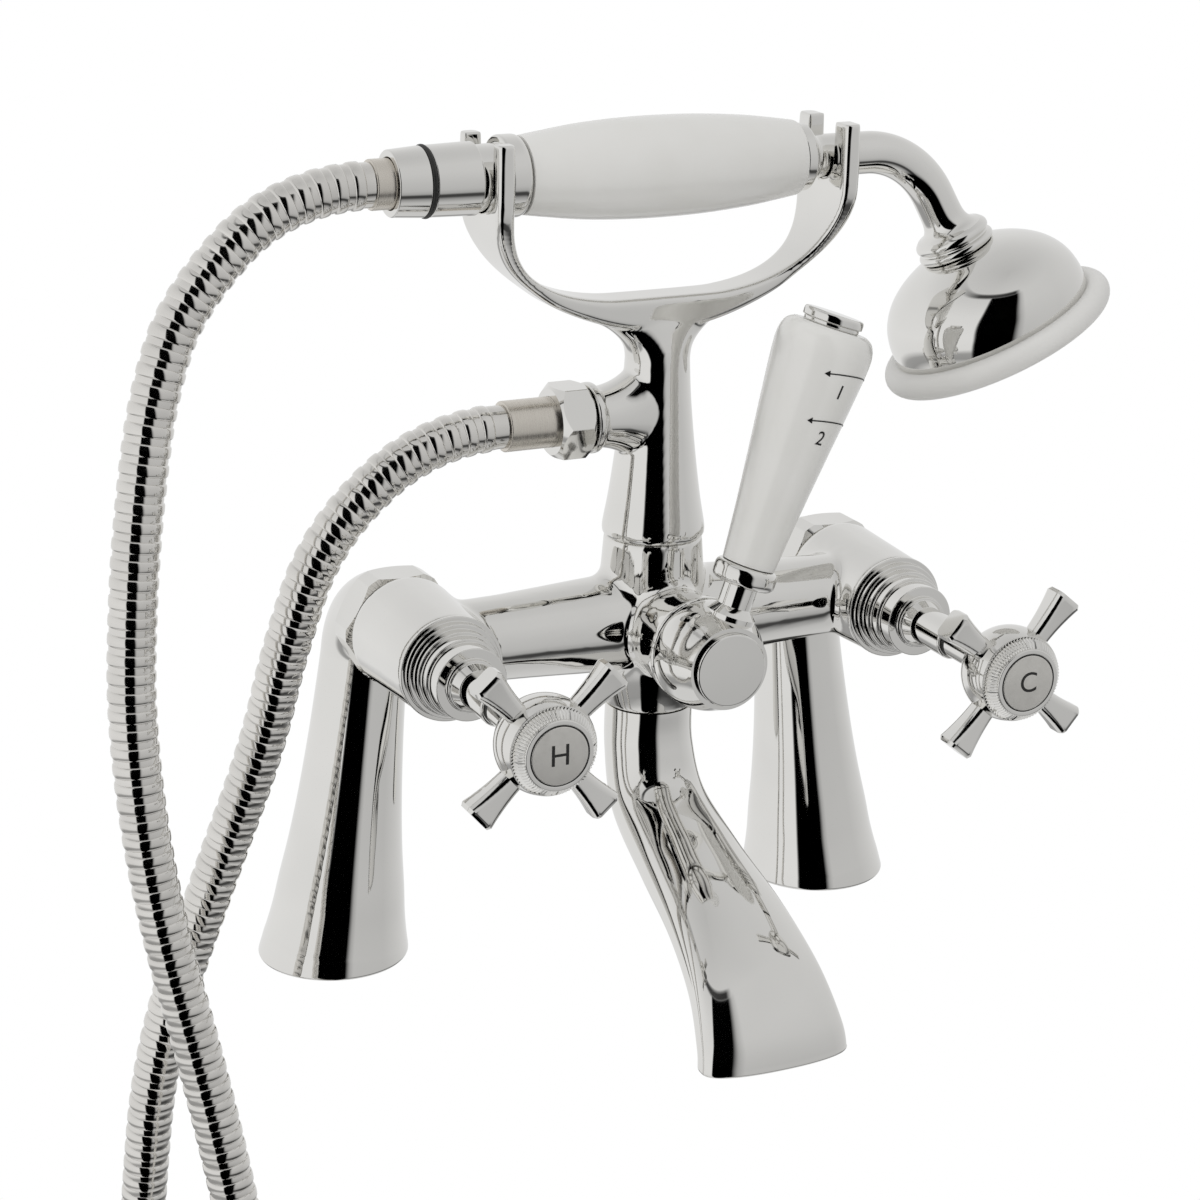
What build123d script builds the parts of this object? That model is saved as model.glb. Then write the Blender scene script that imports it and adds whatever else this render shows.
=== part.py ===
from build123d import *
from math import cos, pi, radians, sin, sqrt, tan
import os

# A bath shower mixer on two pillar legs, with a hand shower in a cradle.
# Millimetres. X runs from the hot side to the cold side, -Y points over the bath, Z is up.
# The origin lies on the deck, midway between the two legs.

os.makedirs("parts", exist_ok=True)

# Driving sizes
deck_centres = 180.0          # tap holes, centre to centre
valve_centres = 154.0         # the two valves, centre to centre
valve_height = 119.0          # valve axes above the deck
body_forward = 47.0           # body axis in front of the legs
handset_height = 262.4        # axis of the resting hand shower above the deck
outlet_height = 186.3         # axis of the hose outlet above the deck
riser_joint_height = 147.0    # where the riser meets the body
spout_joint_height = 91.0     # where the spout meets the body

# Shared fits
clearance = 0.3               # between neighbours that don't touch
running = 0.05                # radial, on turning shafts
overrun = 1.0                 # by which cutters pass what they cut
edge_round = 0.8              # small broken edges

# Legs
foot_radius = 25.0
foot_edge_round = 1.2
leg_top_radius = 14.0
leg_flare_height = 118.0      # height over which the leg flares
leg_flare_shares = [(0.06, 0.93), (0.13, 0.87), (0.21, 0.823), (0.33, 0.742), (0.47, 0.672),
                    (0.64, 0.612), (0.8, 0.573)]
elbow_radius = 15.0
elbow_bend = 16.5
leg_bore = 8.5
inlet_thread_radius = 12.06   # 3/4 inch pipe thread, minor radius
inlet_thread_depth = 15.0
deck_washer_inner = 15.5
deck_washer_outer = 20.5
deck_washer_thickness = 1.6

# Union between a leg and the body, lengths forward from the elbow's end
union_nut_flats = 34.0
union_nut_corner_radius = 18.6
union_nut_length = 12.5
union_nut_lip = 2.2
union_nut_chamfer = 1.6
union_collar_radius = 13.6
union_collar_length = 2.6
union_neck_radius = 11.6
union_washer_thickness = 1.6
union_thread_radius = 15.2

# Body casting
barrel_back_radius = 18.0
barrel_front_radius = 16.4
barrel_back = 17.0            # behind the body axis
barrel_front = 20.0           # in front of it
barrel_rim_round = 1.6
tube_end_radius = 13.4
tube_middle_radius = 15.2
tube_middle_reach = 17.0
tube_slim_reach = 50.0
column_foot_radius = 13.9
column_waist_radius = 16.4
column_top_radius = 15.4
boss_reach = 34.7             # diverter boss, in front of the body axis
boss_root_radius = 14.4
boss_front_radius = 17.0
column_fillet = 4.5
boss_fillet = 3.0
barrel_fillet = 4.0
cross_bore = 8.5
cross_bore_reach = 60.0
port_radius = 4.4
port_distance = 5.6           # side port's axis in front of the body axis
port_reach = 72.0
column_bore = 8.0
inlet_bore = 7.0
seat_back = 4.6               # back of the seat's wall, behind the body axis
seat_front = 2.2
seat_bore = 5.2
valve_chamber_radius = 9.6
diverter_chamber_radius = 11.3
diverter_chamber_back = 4.0

# Valves, distances in front of the body axis
bonnet_steps = [(1.3, 16.6), (4.0, 15.0), (7.0, 13.5), (10.6, 12.4), (16.4, 11.4)]
bonnet_nose_radius = 8.2
bonnet_nose_length = 1.6
bonnet_cone_length = 3.0
bonnet_wall_bore = 10.2
bonnet_bore_depth = 13.0
sleeve_radius = 6.0
sleeve_length = 16.0
sleeve_chamfer = 0.8
spindle_radius = 3.4
spindle_square = 4.6
spindle_foot_radius = 6.6
spindle_foot_thickness = 2.4
headwork_radius = 9.3
headwork_front = 31.0
headwork_window_width = 8.0
headwork_window_length = 3.4
ceramic_disc_radius = 7.6
ceramic_disc_thickness = 2.6
seat_seal_radius = 8.8
seat_seal_thickness = 2.4
disc_port_radius = 2.2
disc_port_offset = 3.9

# Cross handles, distances in front of the body axis
gland_ring_section = 0.8
handle_neck_radius = 5.0
handle_ball_radius = 14.6
handle_ball_distance = 88.2
arm_reach = 28.6
arm_sections = [(8.0, 6.8, 6.6, 2.2), (19.0, 7.4, 7.0, 2.2), (27.4, 10.0, 8.0, 2.0)]
arm_tip_width = 8.8
arm_tip_depth = 6.8
arm_tip_round = 1.6
arm_count = 4
hot_cross_turn = -3.6         # where each closed handle stands, from an upright X
cold_cross_turn = 5.2
knurl_flange_radius = 13.4
knurl_flange_thickness = 0.6
knurl_radius = 13.1
knurl_depth = 0.6
knurl_count = 72
knurl_length = 3.2
bezel_radius = 12.2
bezel_length = 1.0
bezel_bore = 5.2
index_radius = 8.9
index_thickness = 1.8
handle_screw_radius = 1.5
handle_screw_head_radius = 3.4
handle_screw_head_length = 2.4
handle_screw_length = 9.0

# Diverter, distances in front of the body axis
hub_start = 35.0
hub_outline = [(0.0, 16.4), (2.4, 17.1), (6.0, 17.0), (10.0, 16.1), (14.0, 14.6), (18.2, 13.0)]
hub_cap_radius = 11.5
hub_cap_recess = 2.2
hub_cap_stand = 1.8
hub_cap_round = 0.6
diverter_body_radius = 11.0
diverter_body_back = 14.0
diverter_body_front = 33.5
diverter_spindle_radius = 4.0
diverter_spindle_square = 5.2
diverter_spindle_front = 44.5
diverter_disc_radius = 8.4
diverter_disc_thickness = 3.0
diverter_seal_thickness = 1.8
diverter_screw_radius = 1.8
diverter_screw_head_radius = 3.6
diverter_screw_head_length = 2.4
diverter_screw_length = 8.0

# Lever, distances along it from the diverter's axis
lever_lean = 19.3             # towards the cold side, from upright
lever_distance = 44.0         # lever's axis in front of the body axis
lever_neck_foot_radius = 7.6
lever_neck_foot = 15.0
lever_neck_radius = 5.3
lever_neck_end = 24.6
lever_collar_radius = 9.8
lever_collar_end = 31.0
lever_collar_round = 2.4
lever_grip_gap = 0.2
lever_grip_outline = [(31.2, 8.2), (48.0, 9.7), (66.0, 11.6), (84.0, 13.6), (94.5, 14.7), (99.0, 14.8),
                      (102.4, 13.7), (104.4, 11.2)]
lever_grip_bore = 3.4
lever_stud_radius = 3.1
lever_washer_radius = 8.6
lever_washer_thickness = 1.8
lever_cap_radius = 9.3
lever_cap_thickness = 2.9
lever_cap_round = 0.9

# Spout, stations along its centre line: forward of the body axis, height, lean of the section
# from level, width, thickness
spout_stations = [(0.0, spout_joint_height, 0.0, 2 * column_foot_radius, 2 * column_foot_radius),
                  (0.6, 77.0, 8.0, 28.2, 27.4), (8.6, 60.5, 36.0, 30.2, 25.6), (31.5, 48.6, 59.0, 33.2, 22.6),
                  (56.0, 38.6, 60.0, 37.9, 20.0), (75.6, 26.4, 47.0, 43.3, 18.0), (86.8, 13.0, 25.0, 48.0, 17.0),
                  (89.3, 5.6, 0.0, 49.5, 16.5)]
# How much of each section's thickness is its crowned front, and how square its front and back are
spout_form_shares = [(0.5, 2.0, 2.0), (0.5, 2.05, 2.1), (0.5, 2.15, 2.4), (0.48, 2.25, 2.8),
                     (0.47, 2.3, 3.0), (0.46, 2.3, 3.0), (0.46, 2.3, 3.0), (0.46, 2.3, 3.0)]
spout_section_points = 28
spout_wall = 3.0
spout_spigot_radius = 10.0
spout_spigot_length = 8.0
spout_bore = 7.6
spout_seal_section = 1.2
straightener_thickness = 4.0
straightener_columns = 4
straightener_rows = 1
straightener_hole_share = 0.15

# Riser, heights above its joint with the body
riser_outline = [(0.0, 15.4), (0.8, 16.0), (3.4, 16.0), (12.0, 14.5), (22.0, 13.1), (34.0, 11.7), (46.0, 10.6),
                 (57.0, 10.0)]
riser_flare = [(57.0, 10.0, 10.0), (60.5, 10.9, 9.4), (64.0, 13.6, 8.3), (67.5, 18.6, 7.4), (70.4, 26.0, 6.9)]
riser_bore = 6.0
riser_spigot_radius = 11.6
riser_spigot_length = 9.0
riser_seal_section = 1.2

# Hose outlet, distances from the riser's axis
outlet_radius = 9.4
outlet_reach = 22.0
outlet_collar_radius = 11.0
outlet_collar_length = 2.2
outlet_fillet = 5.5
outlet_nut_flats = 21.6
outlet_nut_corner_radius = 12.4
outlet_nut_start = 24.6
outlet_nut_length = 11.6
outlet_nut_chamfer = 2.2
outlet_nut_lip = 2.4
outlet_thread_radius = 8.6
outlet_thread_length = 5.4
hose_washer_thickness = 1.4
ferrule_radius = 7.8
ferrule_flange_radius = 8.6
ferrule_flange_thickness = 1.6
ferrule_bore = 4.2
outlet_ferrule_end = 52.0

# Cradle, half outlines from the riser's axis and heights above the deck
cradle_inner = [(0.0, 223.6), (20.0, 223.9), (33.0, 226.2), (42.0, 230.4), (48.6, 235.8), (52.6, 242.6),
                (54.8, 251.0)]
cradle_outer = [(60.2, 251.0), (58.9, 244.4), (55.4, 237.6), (48.6, 230.6), (37.0, 222.4), (22.0, 216.0),
                (9.0, 213.4)]
cradle_top = 274.2
cradle_strap_width = 14.0
cradle_fork_width = 30.5
cradle_fork_start = 232.0
cradle_fork_full = 260.0
prong_round = 2.2
tail_slot_width = 20.8
neck_slot_width = 15.6

# Hand shower, distances along its axis from the riser's axis
tail_nut_end = 88.6
tail_nut_inner_end = 78.6
tail_nut_mouth_radius = 9.8
tail_nut_radius = 10.5
tail_nut_wall = 1.8
tail_sleeve_reach = 5.9       # of the hose's sleeve, past the nut's mouth
tail_thread_radius = 8.4
tail_thread_length = 10.0
tail_ring_section = 0.8
tail_radius = 10.9
tail_waist_start = 62.4
tail_waist_radius = 9.9
tail_waist_end = 54.4
tail_bead_radius = 12.3
tail_bead_end = 47.2
tail_bead_round = 3.0
grip_outline = [(-47.0, 11.7), (-40.0, 12.7), (-28.0, 14.2), (-14.0, 15.1), (0.0, 15.3), (14.0, 14.9), (28.0, 13.8),
                (38.0, 12.5), (44.6, 11.5)]
stem_radius = 6.2
stem_bore = 4.4
stem_seat = 58.0
end_ring_radius = 10.4
end_ring_start = 44.8
end_ring_end = 48.6
neck_collar_radius = 7.8
neck_collar_end = 51.6
neck_radius = 6.6
neck_end_radius = 8.2
neck_bore = 4.4
neck_bend = 26.0
neck_turn = 10.7              # the neck's plane leans this far to the front

# Rose, distances above its rim's middle, along the spray axis
rose_lean = 25.6              # of the spray axis from straight down, towards the cold side
rose_across = 115.9           # rim's middle from the riser's axis
rose_drop = 59.6              # rim's middle below the hand shower's axis
rose_rim_radius = 34.5
rose_rim_section = 4.1
bell_outline = [(0.0, 31.9), (5.0, 32.8), (10.5, 32.6), (16.0, 31.0), (21.0, 27.6), (25.0, 22.8), (28.0, 17.2),
                (30.0, 11.6)]
bell_wall = 1.6
bell_spigot_radius = 6.2
bell_spigot_length = 4.6
bead_radii_shares = [1.0, 0.91]
bead_radius = 12.4
bead_section = 1.75
bead_start = 30.3
plate_thickness = 2.6
jet_radius = 0.7
jet_ring_counts = [1, 6, 12, 18, 24]

# Hose
hose_radius = 7.2
hose_bore = 4.2
hose_rib_rise = 0.5
hose_rib_count = 200
hose_rib_shares = (0.0, 0.12, 0.62, 0.74)
hose_end_straight = 14.4
hose_arc_share = 0.48          # of a run that the arc at its end takes up

# Derived places
body_y = -body_forward
valve_x = valve_centres / 2
foot_x = deck_centres / 2
union_back = -elbow_bend
sides = {"hot": -1, "cold": 1}

diverter_frame = Plane(origin=(0, body_y, valve_height), x_dir=(1, 0, 0), z_dir=(0, -1, 0))
across_frame = Plane(origin=(0, body_y, valve_height), x_dir=(0, 1, 0), z_dir=(1, 0, 0))
column_frame = Plane(origin=(0, body_y, valve_height))
spout_frame = Plane(origin=(0, body_y, spout_joint_height))
lever_frame = Plane(origin=(0, body_y - lever_distance, valve_height), x_dir=(0, 1, 0),
                    z_dir=(sin(radians(lever_lean)), 0, cos(radians(lever_lean))))
riser_frame = Plane(origin=(0, body_y, riser_joint_height))
outlet_frame = Plane(origin=(0, body_y, outlet_height), x_dir=(0, 1, 0), z_dir=(-1, 0, 0))
handset_frame = Plane(origin=(0, body_y, handset_height), x_dir=(0, 1, 0), z_dir=(1, 0, 0))
neck_plane = Plane(origin=(0, body_y, handset_height), x_dir=(1, 0, 0),
                   z_dir=(0, -cos(radians(neck_turn)), sin(radians(neck_turn))))
spray_up = Vector(-sin(radians(rose_lean)), cos(radians(rose_lean)), 0)
rose_middle = Vector(rose_across, -rose_drop, 0)
rose_up = neck_plane.from_local_coords(rose_middle + spray_up) - neck_plane.from_local_coords(rose_middle)
rose_frame = Plane(origin=neck_plane.from_local_coords(rose_middle), x_dir=neck_plane.z_dir, z_dir=rose_up)


def valve_frame(side):
    """The frame of a valve: its Z runs forward from the body axis."""
    return Plane(origin=(sides[side] * valve_x, body_y, valve_height), x_dir=(1, 0, 0), z_dir=(0, -1, 0))


def union_frame(side):
    """The frame of a union: its Z runs forward from the end of the leg's elbow."""
    return Plane(origin=(sides[side] * valve_x, union_back, valve_height), x_dir=(1, 0, 0), z_dir=(0, -1, 0))


def turned(place, outline, bore=0.0, curved=False):
    """Turn an outline of (distance along the axis, radius) round the local Z axis."""
    points = [(radius, 0, height) for height, radius in outline]
    outer = Spline(*points) if curved else Polyline(*points)
    closing = Polyline(points[-1], (bore, 0, outline[-1][0]), (bore, 0, outline[0][0]), points[0])
    face = make_face([*outer.edges(), *closing.edges()])
    return place * revolve(face, Axis.Z)


def rod(place, radius, start, end, bore=0.0):
    """A plain round bar, or a tube where it has a bore."""
    bar = Pos(0, 0, (start + end) / 2) * Cylinder(radius, end - start)
    if bore > 0:
        bar -= Pos(0, 0, (start + end) / 2) * Cylinder(bore, end - start + 2 * overrun)
    return place * bar


def stepped(place, outline):
    """A shaft whose outline is flat steps of (distance, radius), each ending where it says."""
    solid = None
    start = outline[0][0]
    for end, radius in outline[1:]:
        step = rod(place, radius, start, end)
        solid = step if solid is None else solid + step
        start = end
    return solid


def bar(place, width, depth, start, end):
    """A square or flat bar along the local Z axis."""
    return place * (Pos(0, 0, (start + end) / 2) * Box(width, depth, end - start))


def ring(place, radius, section, height):
    """A round sealing ring."""
    return place * (Pos(0, 0, height) * Torus(radius, section))


def hexagon_nut(place, flats, corner_radius, start, end, chamfer_size):
    """A hexagon with its corners turned down at both ends."""
    length = end - start
    prism = Pos(0, 0, start) * extrude(RegularPolygon(flats / 2, 6, major_radius=False), length)
    limit = Pos(0, 0, (start + end) / 2) * Cylinder(corner_radius, length)
    limit = chamfer(limit.edges().filter_by(GeomType.CIRCLE), chamfer_size)
    return place * (prism & limit)


def save(shape, node):
    """Write one sub-part."""
    export_step(shape, f"parts/{node}.step")


# Legs and unions
union_collar_start = union_nut_lip + 2 * clearance
union_collar_end = union_collar_start + union_collar_length
union_spigot_start = union_collar_end + union_washer_thickness


def leg(side):
    """A flared pillar leg with its elbow and the collar that the union nut pulls on."""
    foot = Vector(sides[side] * foot_x, 0, 0)
    knee = Vector(sides[side] * valve_x, 0, valve_height)
    axis = (knee - foot).normalized()
    slant = Plane(origin=foot, x_dir=(0, 1, 0), z_dir=axis)
    upright_end = (knee - foot).length - elbow_bend
    outline = [(-foot_edge_round * 3, foot_radius), (0, foot_radius)]
    outline += [(height * leg_flare_height, radius * foot_radius) for height, radius in leg_flare_shares]
    outline.append((upright_end, leg_top_radius))
    pillar = turned(slant, outline, curved=True)
    pillar -= Pos(foot.X, 0, -foot_radius) * Box(foot_radius * 4, foot_radius * 4, foot_radius * 2)
    pillar = fillet(pillar.edges().group_by(Axis.Z)[0], foot_edge_round)
    bend_start = foot + axis * upright_end
    bend_end = knee + Vector(0, -elbow_bend, 0)
    bend_centre = knee + (Vector(0, -1, 0) - axis) * elbow_bend
    bend_top = bend_centre + (axis + Vector(0, 1, 0)).normalized() * elbow_bend
    arc = ThreePointArc(bend_start, bend_top, bend_end)
    start_plane = Plane(origin=bend_start, x_dir=(0, 1, 0), z_dir=axis)
    end_plane = union_frame(side)
    elbow = sweep([start_plane * Circle(leg_top_radius), end_plane * Circle(elbow_radius)], path=arc,
                  multisection=True)
    solid = pillar + elbow
    solid += rod(end_plane, union_neck_radius, 0, union_collar_start)
    solid += rod(end_plane, union_collar_radius, union_collar_start, union_collar_end)
    solid -= rod(slant, leg_bore, -overrun * 4, upright_end)
    solid -= sweep(start_plane * Circle(leg_bore), path=arc)
    solid -= rod(end_plane, leg_bore, 0, union_collar_end + overrun)
    on_deck = Plane(origin=foot)
    solid -= rod(on_deck, inlet_thread_radius, -overrun, inlet_thread_depth)
    return solid - rod(on_deck, deck_washer_outer + running, -overrun, deck_washer_thickness,
                       deck_washer_inner - running)


def deck_washer(side):
    """The soft ring let into a foot, flush with the deck."""
    return rod(Plane(origin=(sides[side] * foot_x, 0, 0)), deck_washer_outer, 0, deck_washer_thickness,
               deck_washer_inner)


def union_nut(side):
    """The nut that pulls a leg's collar onto the body."""
    place = union_frame(side)
    end = clearance + union_nut_length
    nut = hexagon_nut(place, union_nut_flats, union_nut_corner_radius, clearance, end, union_nut_chamfer)
    nut -= rod(place, union_neck_radius + clearance, 0, clearance + union_nut_lip)
    return nut - rod(place, union_thread_radius + running, clearance + union_nut_lip, end + overrun)


def union_washer(side):
    """The fibre washer between a leg's collar and the body."""
    return rod(union_frame(side), union_collar_radius, union_collar_end, union_spigot_start, leg_bore)


# Body casting
def mixer_body():
    """The body casting: cross tube, two valve barrels, the column between and the diverter's boss."""
    tube = turned(across_frame, [(-valve_x, tube_end_radius), (-tube_slim_reach, tube_end_radius),
                                 (-tube_middle_reach, tube_middle_radius), (tube_middle_reach, tube_middle_radius),
                                 (tube_slim_reach, tube_end_radius), (valve_x, tube_end_radius)], curved=True)
    low = spout_joint_height - valve_height
    high = riser_joint_height - valve_height
    column = turned(column_frame, [(low, column_foot_radius), (low / 2, column_waist_radius),
                                   (high / 2, column_waist_radius), (high, column_top_radius)], curved=True)
    shell = tube + column
    shell = fillet(new_edges(tube, column, combined=shell), column_fillet)
    boss = turned(diverter_frame, [(0, boss_root_radius), (boss_reach / 2, boss_root_radius),
                                   (boss_reach * 3 / 4, (boss_root_radius + boss_front_radius) / 2),
                                   (boss_reach, boss_front_radius)], curved=True)
    joined = shell + boss
    shell = fillet(new_edges(shell, boss, combined=joined), boss_fillet)
    for side in sides:
        barrel = turned(valve_frame(side), [(-barrel_back, barrel_back_radius),
                                            (barrel_front, barrel_front_radius)])
        barrel = fillet(barrel.edges().filter_by(GeomType.CIRCLE).sort_by(Axis.Y)[-1], barrel_rim_round)
        joined = shell + barrel
        shell = fillet(new_edges(shell, barrel, combined=joined), barrel_fillet)
    for side in sides:
        valve = valve_frame(side)
        spigot_back = union_back - union_spigot_start - body_y
        shell += rod(valve, union_thread_radius, -spigot_back, -barrel_back + overrun)
        shell -= rod(valve, inlet_bore, -spigot_back - overrun, -seat_back)
        shell -= rod(valve, seat_bore, -seat_back - overrun, -seat_front + overrun)
        shell -= rod(valve, valve_chamber_radius, -seat_front, barrel_front + overrun)
        port_place = Plane(origin=(0, body_y - port_distance, valve_height), x_dir=(0, 1, 0),
                           z_dir=(sides[side], 0, 0))
        shell -= rod(port_place, port_radius, cross_bore_reach - overrun, port_reach)
    shell -= rod(across_frame, cross_bore, -cross_bore_reach, cross_bore_reach)
    shell -= rod(column_frame, column_bore, low - overrun, high + overrun)
    shell -= rod(diverter_frame, diverter_chamber_radius, -diverter_chamber_back, boss_reach + overrun)
    shell -= rod(column_frame, riser_spigot_radius + clearance, high - riser_spigot_length - clearance,
                 high + overrun)
    return shell - rod(column_frame, spout_spigot_radius + clearance, low - overrun,
                       low + spout_spigot_length + clearance)


# Spout
def spout_plane(index):
    """The plane of one section of the spout."""
    forward, height, lean = spout_stations[index][:3]
    tilt = radians(lean)
    return Plane(origin=(0, body_y - forward, height), x_dir=(1, 0, 0), z_dir=(0, -sin(tilt), -cos(tilt)))


def spout_section(index, inset):
    """One section of the spout, crowned in front and squarer behind, drawn in by the wall for the waterway."""
    width, depth = spout_stations[index][3:]
    crown, front_power, back_power = spout_form_shares[index]
    half = width / 2 - inset
    deep = depth - 2 * inset
    middle = deep / 2 - crown * deep
    points = []
    for step in range(spout_section_points):
        angle = 2 * pi * step / spout_section_points
        in_front = sin(angle) > 0
        power = front_power if in_front else back_power
        rise = crown * deep if in_front else (1 - crown) * deep
        across = half * abs(cos(angle)) ** (2 / power)
        along = rise * abs(sin(angle)) ** (2 / power)
        points.append((across if cos(angle) > 0 else -across, middle + (along if in_front else -along)))
    return spout_plane(index) * make_face(Spline(*points, periodic=True).edges())


def spout():
    """The spout: round where it meets the body, wide and flat at its mouth."""
    count = len(spout_stations)
    shell = loft([spout_section(index, 0) for index in range(count)])
    way = loft([spout_section(index, spout_wall) for index in range(1, count)])
    way += extrude(spout_section(count - 1, spout_wall), overrun)
    shell += rod(spout_frame, spout_spigot_radius, -overrun, spout_spigot_length)
    shell -= way
    first_drop = spout_stations[0][1] - spout_stations[1][1]
    shell -= rod(spout_frame, spout_bore, -first_drop - overrun, spout_spigot_length + overrun)
    return shell - ring(spout_frame, spout_spigot_radius, spout_seal_section, spout_spigot_length / 2)


def spout_seal():
    """The ring that seals the spout's spigot in the body."""
    return ring(spout_frame, spout_spigot_radius, spout_seal_section, spout_spigot_length / 2) & rod(
        spout_frame, spout_spigot_radius + clearance, 0, spout_spigot_length)


def straightener():
    """The pierced insert that calms the water just inside the spout's mouth."""
    depth = spout_stations[-2][4]
    deep = depth - 2 * spout_wall - 2 * clearance
    blank = spout_plane(-2).to_local_coords(spout_section(len(spout_stations) - 2, spout_wall + clearance))
    hole = deep * straightener_hole_share
    step = 2 * hole + clearance
    for column in range(-straightener_columns, straightener_columns + 1):
        for row in range(-straightener_rows, straightener_rows + 1):
            blank -= Pos(column * step, row * step) * Circle(hole)
    return extrude(spout_plane(-2) * blank, straightener_thickness / 2, both=True)


# Riser and cradle
def cradle():
    """The strap that carries the hand shower: a bowl seen from the front, forked at each end."""
    inner = [(-x, 0, z) for x, z in reversed(cradle_inner)] + [(x, 0, z) for x, z in cradle_inner[1:]]
    outer_right = [(x, 0, z) for x, z in cradle_outer]
    outer_left = [(-x, 0, z) for x, z in reversed(cradle_outer)]
    tip_in = cradle_inner[-1][0]
    tip_out = cradle_outer[0][0]
    tip_low = cradle_outer[0][1]
    edges = [*Spline(*inner, tangents=[(0, 0, -1), (0, 0, 1)]).edges(),
             *Polyline((tip_in, 0, tip_low), (tip_in, 0, cradle_top), (tip_out, 0, cradle_top),
                       (tip_out, 0, tip_low)).edges(),
             *Spline(*outer_right, tangents=[(0, 0, -1), (-1, 0, 0)]).edges(),
             *Line(outer_right[-1], outer_left[0]).edges(),
             *Spline(*outer_left, tangents=[(-1, 0, 0), (0, 0, 1)]).edges(),
             *Polyline((-tip_out, 0, tip_low), (-tip_out, 0, cradle_top), (-tip_in, 0, cradle_top),
                       (-tip_in, 0, tip_low)).edges()]
    strap = extrude(make_face(edges), cradle_fork_width, both=True)
    half = cradle_strap_width / 2
    fork = cradle_fork_width / 2
    low = cradle_outer[-1][1] - overrun
    high = cradle_top + overrun
    rising = Spline((0, -half, cradle_fork_start), (0, -fork, cradle_fork_full), tangents=[(0, 0, 1), (0, 0, 1)])
    falling = Spline((0, fork, cradle_fork_full), (0, half, cradle_fork_start), tangents=[(0, 0, -1), (0, 0, -1)])
    side = make_face([*Polyline((0, -half, low), (0, -half, cradle_fork_start)).edges(), *rising.edges(),
                      *Polyline((0, -fork, cradle_fork_full), (0, -fork, high), (0, fork, high),
                                (0, fork, cradle_fork_full)).edges(), *falling.edges(),
                      *Polyline((0, half, cradle_fork_start), (0, half, low), (0, -half, low)).edges()])
    strap = strap & extrude(side, tip_out + overrun, both=True)
    for sign, slot, held in ((-1, tail_slot_width, tail_waist_radius), (1, neck_slot_width, neck_radius)):
        rest = handset_height - held - clearance + slot / 2
        thick = tip_out - tip_in
        place = Plane(origin=(sign * (tip_in + tip_out) / 2, 0, rest), x_dir=(0, 1, 0), z_dir=(1, 0, 0))
        strap -= rod(place, slot / 2, -thick, thick)
        strap -= Pos(place.origin.X, 0, rest + fork) * Box(thick * 2, slot, fork * 2)
    tops = strap.edges().filter_by(Axis.X).filter_by(lambda edge: edge.center().Z > cradle_top - clearance)
    return Pos(0, body_y, 0) * fillet(tops, prong_round)


def riser():
    """The tapered riser with its hose outlet and the cradle, cast in one piece."""
    column = turned(riser_frame, riser_outline)
    branch = rod(outlet_frame, outlet_radius, 0, outlet_reach)
    solid = column + branch
    solid = fillet(new_edges(column, branch, combined=solid), outlet_fillet)
    flare = loft([riser_frame * Pos(0, 0, height) * Ellipse(across, deep) for height, across, deep in riser_flare])
    solid = solid + flare + cradle()
    thread_start = outlet_reach + outlet_collar_length
    solid += rod(outlet_frame, outlet_collar_radius, outlet_reach, thread_start)
    solid += rod(outlet_frame, outlet_thread_radius, thread_start, thread_start + outlet_thread_length)
    solid += rod(riser_frame, riser_spigot_radius, -riser_spigot_length, overrun)
    solid -= rod(riser_frame, riser_bore, -riser_spigot_length - overrun, outlet_height - riser_joint_height)
    solid -= rod(outlet_frame, riser_bore, 0, thread_start + outlet_thread_length + overrun)
    return solid - ring(riser_frame, riser_spigot_radius, riser_seal_section, -riser_spigot_length / 2)


def riser_seal():
    """The ring that seals the riser in the body."""
    return ring(riser_frame, riser_spigot_radius, riser_seal_section, -riser_spigot_length / 2) & rod(
        riser_frame, riser_spigot_radius + clearance, -riser_spigot_length, 0)


# Hose outlet
outlet_face = outlet_reach + outlet_collar_length + outlet_thread_length
ferrule_seat = outlet_face + hose_washer_thickness
outlet_nut_end = outlet_nut_start + outlet_nut_length


def outlet_nut():
    """The hexagon nut that holds the hose on the riser."""
    nut = hexagon_nut(outlet_frame, outlet_nut_flats, outlet_nut_corner_radius, outlet_nut_start, outlet_nut_end,
                      outlet_nut_chamfer)
    nut -= rod(outlet_frame, ferrule_flange_radius + running, outlet_nut_start - overrun,
               outlet_nut_end - outlet_nut_lip)
    return nut - rod(outlet_frame, ferrule_radius + running, outlet_nut_start, outlet_nut_end + overrun)


def outlet_washer():
    """The rubber washer between the riser's outlet and the hose."""
    return rod(outlet_frame, outlet_thread_radius, outlet_face, ferrule_seat, riser_bore)


def outlet_ferrule():
    """The brushed sleeve crimped on the hose at the riser, with the flange that its nut holds."""
    sleeve = rod(outlet_frame, ferrule_radius, ferrule_seat, outlet_ferrule_end)
    sleeve += rod(outlet_frame, ferrule_flange_radius, ferrule_seat, ferrule_seat + ferrule_flange_thickness)
    return sleeve - rod(outlet_frame, ferrule_bore, ferrule_seat - overrun, outlet_ferrule_end + overrun)


# Valves
def bonnet(side):
    """The stepped cover over a valve's headwork."""
    place = valve_frame(side)
    start = barrel_front
    steps = [(start, 0)] + [(start + end, radius) for end, radius in bonnet_steps]
    solid = stepped(place, steps)
    face = steps[-1][0]
    solid += rod(place, bonnet_nose_radius, face, face + bonnet_nose_length)
    cone_start = face + bonnet_nose_length
    solid += turned(place, [(cone_start, bonnet_nose_radius - edge_round),
                            (cone_start + bonnet_cone_length, sleeve_radius)])
    solid -= rod(place, bonnet_wall_bore, start - overrun, start + bonnet_bore_depth)
    return solid - rod(place, spindle_radius + clearance, start, sleeve_start() + overrun)


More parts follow.
